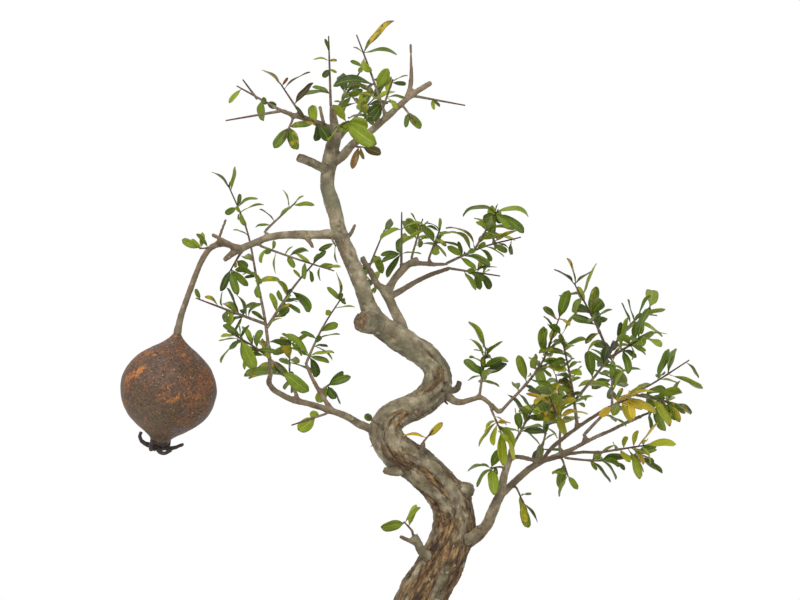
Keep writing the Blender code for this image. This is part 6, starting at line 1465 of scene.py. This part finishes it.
def fill_leaves(lines, grown):
    """Smaller leaves between the main ones, on the same shoots and clear of the wood."""
    rng = random.Random(FILL_SEED)
    extra = {}
    for name in SPRAYS:
        pairs, tuft, size = SPRAYS[name]["leaves"]
        extra[name] = []
        own = [segments(leaf_points(leaf, (0.3, 0.5, 0.75, 1.0))) for leaf in grown[name]]
        own = np.vstack(own) if own else np.empty((0, 8))
        for line in lines[name]:
            tries, start, stop = FILL_MORE.get(name, (FILL_PLACES * pairs + tuft, 0.2, 1.0))
            for _ in range(tries):
                spot, along = place_on(line, rng.uniform(start, stop))
                for _ in range(8):
                    leaf = draw_leaf(rng, spot, along, rng.uniform(0, math.tau), (25, 75), size * rng.uniform(*FILL_SIZE))
                    cover = leaf_points(leaf, (0.35, 0.6, 0.85, 1.0))
                    if air_to(cover, np.vstack([WOOD_ROWS, FRUIT_ROWS])) > LEAF_AIR and air_to(cover, own) > -0.2 * leaf[5]:
                        extra[name].append(leaf)
                        own = np.vstack([own, segments(cover)])
                        break
    return extra


lines, grown = place_leaves()
extra = fill_leaves(lines, grown)
print(sum(map(len, grown.values())), "main leaves and", sum(map(len, extra.values())), "smaller ones")

# %% Grow the leaves
LEAF_THICKNESS = 0.00028
TWIST = 0.7
low_corner, high_corner = (Vector(corner) / MM for corner in cad_box)


def inside(leaf):
    """Whether a leaf's tip stays within the tree's own box."""
    tip = on_leaf(leaf, 1.0)[0]
    half = leaf[5] / 2 * BLADE_BREADTH[1]
    return all(low_corner[k] + half < tip[k] < high_corner[k] - half for k in range(3))


def make_leaves(title, leaves, surface, seed):
    """One piece from a list of leaves: points that keep each leaf's numbers, and the leaf tree on them."""
    rng = np.random.default_rng(seed)
    mesh = bpy.data.meshes.new(title)
    mesh.vertices.add(len(leaves))
    roots = np.array([leaf[0] for leaf in leaves]) * MM
    mesh.vertices.foreach_set("co", roots.ravel())
    store(mesh, "root", "FLOAT_VECTOR", roots)
    for number, name in enumerate(("way", "side", "face")):
        store(mesh, name, "FLOAT_VECTOR", np.array([leaf[number + 1] for leaf in leaves]))
    numbers = np.array([leaf[4:7] for leaf in leaves])
    store(mesh, "length", "FLOAT", numbers[:, 0] * BLADE_LENGTH * MM)
    store(mesh, "width", "FLOAT", numbers[:, 1] * rng.uniform(*BLADE_BREADTH, len(leaves)) * MM)
    store(mesh, "arch", "FLOAT", numbers[:, 2])
    store(mesh, "phase", "FLOAT", rng.uniform(0, math.tau, len(leaves)))
    store(mesh, "twist", "FLOAT", rng.uniform(-TWIST, TWIST, len(leaves)))
    store(mesh, "shade", "FLOAT", rng.beta(2.0, 2.0, len(leaves)))
    store(mesh, "years", "FLOAT", rng.uniform(0, 1, len(leaves)))
    seedlings = bpy.data.objects.new(title, mesh)
    bpy.context.scene.collection.objects.link(seedlings)
    grow(seedlings, blades, surface)
    wall = seedlings.modifiers.new("thickness", "SOLIDIFY")
    wall.thickness = LEAF_THICKNESS
    wall.offset = 0.0
    return settle(seedlings, title, surface)


def leaf_group(name):
    """Green leaves are grouped by their part of the tree, the others by their tone."""
    tone = SPRAYS[name]["tone"]
    return ("green_" + region_of(name), tone) if tone == "green" else (tone, tone)


GROUPS = sorted({leaf_group(name) for name in SPRAYS})
for number, (title, tone) in enumerate(GROUPS):
    names = [name for name in SPRAYS if leaf_group(name) == (title, tone)]
    leaves = [leaf for name in names for leaf in grown[name] + [leaf for leaf in extra[name] if inside(leaf)]]
    piece = make_leaves("leaves_" + title, leaves, LEAF_SURFACES[tone], number)
    hand_over(piece, "leaf_" + tone, *("spray_" + name for name in names))

# %% [markdown]
# ## The dry fruit
# A dried pomegranate is a turned form that has shrunk: nearly round, drawn up to its stalk, with soft
# ribs and shallow dents. Turning a profile gives the form, a few waves around it give the ribs, and
# noise gives the dents, so the fruit stays one closed skin.

# %% Turned forms
FRUIT_AXIS = (-0.163, 0.0, -0.987)
FRUIT_PROFILE = ((0.0, 3.4), (2.5, 5.4), (6.0, 9.6), (10.5, 16.2), (16.5, 24.2), (24.5, 30.4), (34.0, 33.6),
                 (44.0, 33.2), (52.5, 30.2), (59.5, 24.8), (65.0, 18.2), (69.5, 11.2), (72.5, 7.6), (75.0, 6.6))
FRUIT_SEAT = 0.2          # more air above the fruit, for the slant of its stalk's end
FRUIT_RIBS = 5
FRUIT_RIB_DEPTH = 0.028
RIND_START = (-1.6, 2.3)   # the rind closes round the end of its stalk
RIND_SHARE = 0.975         # the finished rind is a little slimmer than its plain solid
FRUIT_AROUND = 160
FRUIT_STEP = 0.9
DENT_DEPTH = 0.9
CUP_PROFILE = ((-0.5, 6.6), (1.2, 6.1), (2.2, 5.6), (2.6, 5.0), (2.2, 4.4), (1.2, 3.9), (0.9, 2.0))
fruit_axis = Vector(FRUIT_AXIS).normalized()
fruit_top = Vector(LIMBS["fruit_stalk"][-1][:3]) + fruit_axis * (FIT_GAP + FRUIT_SEAT)
fruit_side = fruit_axis.cross(Vector((0, 1, 0))).normalized()


def turned(name, start, profile, around, ribbed, dents):
    """A closed form turned about the fruit's axis from (distance, radius) pairs."""
    form = bmesh.new()
    rows = []
    for distance, radius in profile:
        row = []
        for i in range(around):
            angle = math.tau * i / around
            out = fruit_side * math.cos(angle) + Vector((0, 1, 0)) * math.sin(angle)
            swell = radius * (1 + ribbed * FRUIT_RIB_DEPTH * math.cos(FRUIT_RIBS * angle + 0.6))
            spot = start + fruit_axis * distance + out * swell
            swell = noise.noise(spot * 0.045) * dents + noise.noise(spot * 0.16) * dents * 0.35
            row.append(form.verts.new((spot + out * swell * min(1.0, radius / 12.0)) * MM))
        rows.append(row)
    for low, high in zip(rows, rows[1:]):
        for i in range(around):
            j = (i + 1) % around
            form.faces.new((low[i], low[j], high[j], high[i]))
    for row, distance in ((rows[0], profile[0][0]), (rows[-1], profile[-1][0])):
        centre = form.verts.new((start + fruit_axis * distance) * MM)
        for i in range(around):
            form.faces.new((row[i], row[(i + 1) % around], centre))
    bmesh.ops.recalc_face_normals(form, faces=form.faces)
    mesh = bpy.data.meshes.new(name)
    form.to_mesh(mesh)
    form.free()
    return mesh


def fruit_material():
    """Dry rind: brown and grey-brown, with rust-red and orange patches, olive low down, and fine pits."""
    made, tree, shader, place = start_material("fruit_rind")
    height = node(tree, "ShaderNodeSeparateXYZ", {0: place}).outputs["Z"]
    broad = grain_noise(tree, place, 34.0, 4.0, 0.6)
    cloud = grain_noise(tree, vectors(tree, "ADD", place, (0.3, 0.1, 0.2)), 62.0, 6.0, 0.66)
    fine = grain_noise(tree, place, 520.0, 6.0, 0.7)
    base = ramp(tree, fine, [(0.3, looks(50, 34, 22)), (0.48, looks(84, 58, 38)), (0.62, looks(110, 78, 50)), (0.78, looks(150, 108, 66))])
    grey = ramp(tree, fine, [(0.3, looks(66, 52, 46)), (0.55, looks(104, 86, 76)), (0.75, looks(136, 116, 100))])
    colour = blend_colours(tree, mask(tree, broad, 0.50, 0.60), base, grey)
    rust = ramp(tree, fine, [(0.3, looks(62, 34, 20)), (0.47, looks(108, 64, 32)), (0.58, looks(144, 88, 38)), (0.72, looks(186, 122, 56))])
    colour = blend_colours(tree, mask(tree, cloud, 0.44, 0.62), colour, rust)
    orange = ramp(tree, fine, [(0.3, looks(140, 74, 24)), (0.5, looks(184, 108, 34)), (0.75, looks(214, 146, 60))])
    spots = grain_noise(tree, vectors(tree, "ADD", place, (0.7, 0.4, 0.9)), 88.0, 4.0, 0.6)
    colour = blend_colours(tree, mask(tree, spots, 0.60, 0.66), colour, orange)
    olive = ramp(tree, fine, [(0.3, looks(54, 42, 20)), (0.5, looks(88, 68, 32)), (0.75, looks(126, 98, 46))])
    low = maths(tree, "MULTIPLY", mask(tree, height, 0.300, 0.262), mask(tree, broad, 0.62, 0.40))
    colour = blend_colours(tree, low, colour, olive)
    speck = mask(tree, grain_noise(tree, place, 900.0, 2.0), 0.64, 0.70)
    colour = blend_colours(tree, maths(tree, "MULTIPLY", speck, 0.6), colour, looks(212, 176, 120))
    pit = mask(tree, grain_noise(tree, vectors(tree, "ADD", place, (0.2, 0.8, 0.5)), 640.0, 3.0), 0.60, 0.68)
    colour = blend_colours(tree, maths(tree, "MULTIPLY", pit, 0.7), colour, looks(36, 22, 16))
    tree.links.new(colour, shader.inputs["Base Color"])
    tree.links.new(maths(tree, "ADD", 0.42, maths(tree, "MULTIPLY", fine, 0.35)), shader.inputs["Roughness"])
    relief = maths(tree, "SUBTRACT", maths(tree, "ADD", fine, maths(tree, "MULTIPLY", cloud, 1.4)), maths(tree, "MULTIPLY", pit, 0.6))
    raise_relief(tree, shader, relief, 0.0006)
    return made


rind = fruit_material()
profile = smooth_route([(d, r, 0, 0) for d, r in (RIND_START, *FRUIT_PROFILE)], FRUIT_STEP)
profile = [(distance, radius * RIND_SHARE) for distance, radius, _, _ in profile]
fruit = add_piece("fruit_rind", turned("fruit_rind", fruit_top, profile, FRUIT_AROUND, 1.0, DENT_DEPTH), rind)
hand_over(fruit, "fruit_rind", "fruit")

# %% [markdown]
# ## The crown of the fruit
# The flower's sepals stay on the ripe fruit. Dried, they are nearly black, thin and curled. A small
# cup carries them, each sepal is a tube that tapers along its own curl, and the dry threads of the
# flower stand in the cup.

# %% Crown
SEPALS = {
    "hook": [(-183, -17, 253.4, 1.6), (-187.5, -18, 254, 1.8), (-191.5, -19.5, 256.5, 1.4), (-193, -20.5, 260, 1.2),
             (-192, -21, 263, 1.1)],
    "point": [(-177.5, -17, 252.4, 1.6), (-173.5, -18, 251.5, 1.8), (-169, -19, 252, 1.4), (-163, -20, 254.5, 1.0)],
    "under": [(-181, -20, 252.9, 1.6), (-179, -23.5, 249.5, 1.5), (-175.5, -23.5, 248.5, 1.3),
              (-171.5, -21, 250.5, 1.2)],
    "near": [(-181.5, -19, 252.9, 1.6), (-184.5, -24.5, 251.5, 1.7), (-184.5, -28.5, 254, 1.3),
             (-183.5, -29.5, 258, 1.1)],
    "back": [(-179, -14, 252.7, 1.6), (-177.5, -10, 251, 1.7), (-175, -6.5, 252.5, 1.3), (-174, -4.5, 256.5, 1.1)],
}
THREADS = 9
THREAD_SEED = 12


def crown_material(name, dark, light):
    """Dry papery skin."""
    made, tree, shader, place = start_material(name)
    cloud = grain_noise(tree, place, 800.0, 5.0, 0.7)
    tree.links.new(ramp(tree, cloud, [(0.35, dark), (0.75, light)]), shader.inputs["Base Color"])
    shader.inputs["Roughness"].default_value = 0.6
    raise_relief(tree, shader, cloud, 0.0008)
    return made


dark_skin = crown_material("sepal_dark", looks(18, 12, 12), looks(74, 52, 42))
thread_skin = crown_material("thread_red", looks(62, 26, 22), looks(138, 84, 62))
seat = fruit_top + fruit_axis * (FRUIT_PROFILE[-1][0] + FIT_GAP)
cup = turned("cup", seat, CUP_PROFILE, 48, 0.0, 0.7)
sepals = lines_object("sepals", [smooth_route(route, 0.8) for route in SEPALS.values()])
grow(sepals, tubes, dark_skin, Sides=12)
sepals = settle(sepals, "fruit_crown", dark_skin)
form = bmesh.new()
form.from_mesh(sepals.data)
form.from_mesh(cup)
for vert in form.verts:
    vert.co += noise.noise_vector(vert.co / (2.2 * MM)) * 0.35 * MM
form.to_mesh(sepals.data)
form.free()
sepals.data.shade_smooth()
hand_over(sepals, "sepal", "calyx")

rng = random.Random(THREAD_SEED)
threads = []
for k in range(THREADS):
    way = Quaternion(fruit_axis, math.tau * k / THREADS) @ fruit_side
    lean = rng.uniform(0.1, 0.5)
    tip = rng.uniform(3.5, 7.0)
    foot = seat + fruit_axis * 2.0 + way * rng.uniform(0.5, 3.0)
    middle = foot + fruit_axis * tip * 0.5 + way * lean
    threads.append(smooth_route([(*foot, 0.55), (*middle, 0.45), (*(foot + fruit_axis * tip * 0.8 + way * tip * lean), 0.3)], 0.8))
thread_lines = lines_object("threads", threads)
grow(thread_lines, tubes, thread_skin, Sides=6)
hand_over(settle(thread_lines, "fruit_threads", thread_skin), "sepal")

# %% [markdown]
# ## Soil
# A bonsai stands in a gritty mix of baked clay granules. The solid under them keeps the mound's shape
# and gets a dark earth finish; the granules are scattered over its top, each a small rough lump
# of its own size, turn and shade.

# %% Soil bed
def soil_material():
    """Dark damp earth."""
    made, tree, shader, place = start_material("soil_earth")
    cloud = grain_noise(tree, place, 320.0, 6.0, 0.7)
    tree.links.new(ramp(tree, cloud, [(0.3, looks(34, 25, 18)), (0.6, looks(74, 56, 40)), (0.8, looks(112, 88, 62))]),
                   shader.inputs["Base Color"])
    shader.inputs["Roughness"].default_value = 0.95
    raise_relief(tree, shader, cloud, 0.002)
    return made


def granule_material():
    """Baked clay grains from dark brown to straw, a few of them mossy."""
    made, tree, shader, place = start_material("soil_granules")
    shade = node(tree, "ShaderNodeAttribute", attribute_name="shade").outputs["Fac"]
    cloud = grain_noise(tree, place, 700.0, 4.0)
    mixed = maths(tree, "ADD", shade, maths(tree, "MULTIPLY", maths(tree, "SUBTRACT", cloud, 0.5), 0.3))
    grains = ramp(tree, mixed, [(0.05, looks(58, 42, 30)), (0.4, looks(112, 82, 56)), (0.7, looks(150, 118, 82)),
                                (0.92, looks(196, 172, 136))])
    damp = mask(tree, grain_noise(tree, place, 24.0, 3.0), 0.52, 0.62)
    moss = ramp(tree, cloud, [(0.3, looks(52, 66, 26)), (0.7, looks(110, 126, 50))])
    tree.links.new(blend_colours(tree, maths(tree, "MULTIPLY", damp, 0.75), grains, moss), shader.inputs["Base Color"])
    shader.inputs["Roughness"].default_value = 0.92
    raise_relief(tree, shader, cloud, 0.0005)
    return made


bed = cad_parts["soil"]
bed.data.materials.clear()
bed.data.materials.append(soil_material())
print("soil bed", len(bed.data.polygons), "faces")

# %% Granules
GRAIN_SIZE = (0.0010, 0.0021)
GRAIN_APART = 0.0024
GRAIN_FLOOR = 0.0562


def granule_tree():
    """Rough lumps over everything that faces up."""
    tree, given, end = start_tree("Soil granules", {"Apart": ("Float", 0.0024), "Smallest": ("Float", 0.001),
                                                    "Largest": ("Float", 0.002), "Lowest": ("Float", 0.0), "Seed": ("Int", 9)})
    normal = node(tree, "ShaderNodeSeparateXYZ", {0: tree.nodes.new("GeometryNodeInputNormal").outputs[0]}).outputs["Z"]
    height = node(tree, "ShaderNodeSeparateXYZ", {0: tree.nodes.new("GeometryNodeInputPosition").outputs[0]}).outputs["Z"]
    top = maths(tree, "MULTIPLY", maths(tree, "GREATER_THAN", normal, 0.55),
                maths(tree, "GREATER_THAN", height, given.outputs["Lowest"]))
    spread = node(tree, "GeometryNodeDistributePointsOnFaces",
                  {"Mesh": given.outputs[0], "Selection": top, "Distance Min": given.outputs["Apart"],
                   "Density Max": 400000.0, "Density Factor": 1.0, "Seed": given.outputs["Seed"]},
                  distribute_method="POISSON")
    lump = node(tree, "GeometryNodeMeshIcoSphere", {"Radius": 1.0, "Subdivisions": 1})
    size = node(tree, "FunctionNodeRandomValue", {2: given.outputs["Smallest"], 3: given.outputs["Largest"],
                                                  "Seed": given.outputs["Seed"]}, data_type="FLOAT").outputs[1]
    turn = node(tree, "FunctionNodeRandomValue", {0: (0, 0, 0), 1: (6.28, 6.28, 6.28), "Seed": 3},
                data_type="FLOAT_VECTOR").outputs[0]
    shade = node(tree, "FunctionNodeRandomValue", {2: 0.0, 3: 1.0, "Seed": 17}, data_type="FLOAT").outputs[1]
    points = node(tree, "GeometryNodeStoreNamedAttribute", {"Geometry": spread.outputs[0], "Name": "shade", "Value": shade},
                  data_type="FLOAT", domain="POINT").outputs[0]
    copies = node(tree, "GeometryNodeInstanceOnPoints", {"Points": points, "Instance": lump.outputs[0], "Rotation": turn,
                                                         "Scale": size}).outputs[0]
    solid = node(tree, "GeometryNodeRealizeInstances", {0: copies}).outputs[0]
    place = tree.nodes.new("GeometryNodeInputPosition").outputs[0]
    level = maths(tree, "SUBTRACT", grain_noise(tree, place, 700.0, 2.0), 0.5)
    out = tree.nodes.new("GeometryNodeInputNormal").outputs[0]
    rough = node(tree, "GeometryNodeSetPosition", {"Geometry": solid,
                                                   "Offset": scaled(tree, out, maths(tree, "MULTIPLY", level, 0.0016))})
    return end(rough.outputs[0])


granules = granule_material()
ground = bpy.data.objects.new("ground_copy", bed.data.copy())
bpy.context.scene.collection.objects.link(ground)
form = bmesh.new()
form.from_mesh(ground.data)
bmesh.ops.remove_doubles(form, verts=form.verts, dist=1e-6)
form.to_mesh(ground.data)
form.free()
grow(ground, granule_tree(), granules, Apart=GRAIN_APART, Smallest=GRAIN_SIZE[0], Largest=GRAIN_SIZE[1], Lowest=GRAIN_FLOOR)
gravel = settle(ground, "soil_grains", granules)
for face in gravel.data.polygons:
    face.use_smooth = False
hand_over(gravel, "soil_granules")

# %% [markdown]
# ## The tray
# A bonsai tray is pressed or cast in one piece of clay: a low tapered box with round corners, a lip
# and four feet, holes in its floor for water, and no glaze. It is lofted from one
# rounded outline at each height of its wall, which keeps the corners true as the wall tapers.

# %% Tray
POT_LENGTH = 300.0
POT_DEPTH = 210.0
POT_HEIGHT = 62.0
POT_CORNER = 34.0
POT_TAPER = 12.0
POT_WALL = 8.0
POT_FLOOR = 9.0
LIP_OUT = 5.0
LIP_HEIGHT = 9.0
FOOT_SIZE = (40.0, 26.0)
FOOT_HEIGHT = 11.0
FOOT_INSET = (96.0, 62.0)
DRAIN_RADIUS = 10.0
DRAIN_X = 62.0
CORNER_POINTS = 14


def rounded_ring(inset, height):
    """A rounded rectangle, inset from the rim's outer edge."""
    half_x = POT_LENGTH / 2 - inset
    half_y = POT_DEPTH / 2 - inset
    corner = max(POT_CORNER - inset, 6.0)
    ring = []
    for quarter, (sign_x, sign_y) in enumerate(((1, 1), (-1, 1), (-1, -1), (1, -1))):
        for i in range(CORNER_POINTS):
            angle = math.pi / 2 * (quarter + i / (CORNER_POINTS - 1))
            ring.append(Vector((sign_x * (half_x - corner) + corner * math.cos(angle),
                                sign_y * (half_y - corner) + corner * math.sin(angle), height)))
    return ring


def tray_profile():
    """(inset, height) pairs from the underside, up the outside, over the lip and down to the inner floor."""
    floor = FOOT_HEIGHT + POT_FLOOR
    under_lip = POT_HEIGHT - LIP_HEIGHT
    inner = LIP_OUT + POT_WALL
    wall = [(LIP_OUT + POT_TAPER + 3.0, FOOT_HEIGHT), (LIP_OUT + POT_TAPER + 0.8, FOOT_HEIGHT + 0.8)]
    wall += [(LIP_OUT + POT_TAPER * (1 - share), FOOT_HEIGHT + 3 + (under_lip - FOOT_HEIGHT - 3) * share)
             for share in (0.0, 0.35, 0.7, 1.0)]
    lip = [(0.6, under_lip + 0.6), (0.0, under_lip + 2.0), (0.0, POT_HEIGHT - 2.4), (0.7, POT_HEIGHT - 0.8), (2.4, POT_HEIGHT)]
    inside = [(inner - 1.4, POT_HEIGHT), (inner, POT_HEIGHT - 1.2), (inner + POT_TAPER, floor)]
    return wall + lip + inside


def lofted(name, rings):
    """A closed solid through rings of points."""
    form = bmesh.new()
    rows = [[form.verts.new(point * MM) for point in ring] for ring in rings]
    for low, high in zip(rows, rows[1:]):
        for i in range(len(low)):
            j = (i + 1) % len(low)
            form.faces.new((low[i], low[j], high[j], high[i]))
    form.faces.new(rows[0][::-1])
    form.faces.new(rows[-1])
    bmesh.ops.recalc_face_normals(form, faces=form.faces)
    mesh = bpy.data.meshes.new(name)
    form.to_mesh(mesh)
    form.free()
    return mesh


def cutter(name, build):
    """A scratch object whose mesh build makes."""
    form = bmesh.new()
    build(form)
    mesh = bpy.data.meshes.new(name)
    form.to_mesh(mesh)
    form.free()
    made = bpy.data.objects.new(name, mesh)
    bpy.context.scene.collection.objects.link(made)
    return made


def foot_form(sign_x, sign_y):
    def build(form):
        bmesh.ops.create_cube(form, size=1.0)
        bmesh.ops.scale(form, verts=form.verts, vec=Vector((FOOT_SIZE[0], FOOT_SIZE[1], FOOT_HEIGHT + 2.0)) * MM)
        place = Vector((sign_x * FOOT_INSET[0], sign_y * FOOT_INSET[1], (FOOT_HEIGHT + 2.0) / 2)) * MM
        bmesh.ops.translate(form, verts=form.verts, vec=place)
        edges = [edge for edge in form.edges if abs(edge.verts[0].co.z - edge.verts[1].co.z) > MM]
        bmesh.ops.bevel(form, geom=edges, offset=5.0 * MM, segments=5, profile=0.5, affect="EDGES")
    return build


def drain_form(sign_x):
    def build(form):
        bmesh.ops.create_cone(form, cap_ends=True, segments=48, radius1=DRAIN_RADIUS * MM, radius2=DRAIN_RADIUS * MM,
                              depth=3 * POT_FLOOR * MM)
        bmesh.ops.translate(form, verts=form.verts, vec=Vector((sign_x * DRAIN_X, 0, FOOT_HEIGHT + POT_FLOOR - 4.0)) * MM)
    return build


def clay_material():
    """Unglazed brown stoneware: speckled, stained pale grey in patches low down, worn pale on its lip."""
    made, tree, shader, place = start_material("pot_clay")
    height = node(tree, "ShaderNodeSeparateXYZ", {0: place}).outputs["Z"]
    broad = grain_noise(tree, place, 18.0, 4.0)
    fine = grain_noise(tree, place, 900.0, 4.0, 0.7)
    clay = ramp(tree, broad, [(0.3, looks(92, 60, 46)), (0.55, looks(116, 78, 60)), (0.75, looks(134, 94, 72))])
    clay = blend_colours(tree, mask(tree, fine, 0.58, 0.66), clay, looks(70, 46, 36))
    clay = blend_colours(tree, maths(tree, "MULTIPLY", mask(tree, fine, 0.36, 0.30), 0.8), clay, looks(168, 128, 98))
    stain = maths(tree, "MULTIPLY", mask(tree, height, 0.030, 0.006), mask(tree, broad, 0.40, 0.60))
    clay = blend_colours(tree, maths(tree, "MULTIPLY", stain, 0.5), clay, looks(150, 132, 112))
    worn = maths(tree, "MULTIPLY", mask(tree, height, 0.0605, 0.0618), 0.35)
    clay = blend_colours(tree, worn, clay, looks(158, 118, 92))
    tree.links.new(clay, shader.inputs["Base Color"])
    shader.inputs["Roughness"].default_value = 0.72
    raise_relief(tree, shader, maths(tree, "ADD", fine, maths(tree, "MULTIPLY", broad, 1.5)), 0.0004)
    return made


clay = clay_material()
tray = add_piece("tray_form", lofted("tray", [rounded_ring(inset, height) for inset, height in tray_profile()]), clay)
tools = [(cutter("foot", foot_form(x, y)), "UNION") for x in (-1, 1) for y in (-1, 1)]
tools += [(cutter("drain", drain_form(x)), "DIFFERENCE") for x in (-1, 1)]
for tool, operation in tools:
    change = tray.modifiers.new(tool.name, "BOOLEAN")
    change.operation = operation
    change.object = tool
tray = settle(tray, "tray", clay)
for tool, _ in tools:
    bpy.data.objects.remove(tool, do_unlink=True)
tray.data.set_sharp_from_angle(angle=math.radians(35))
hand_over(tray, "pot_clay", "pot")

# %% Size and finish
visual_box = [list(corner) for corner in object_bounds()]
print("visual box in mm:", [[round(value / MM, 1) for value in corner] for corner in visual_box])
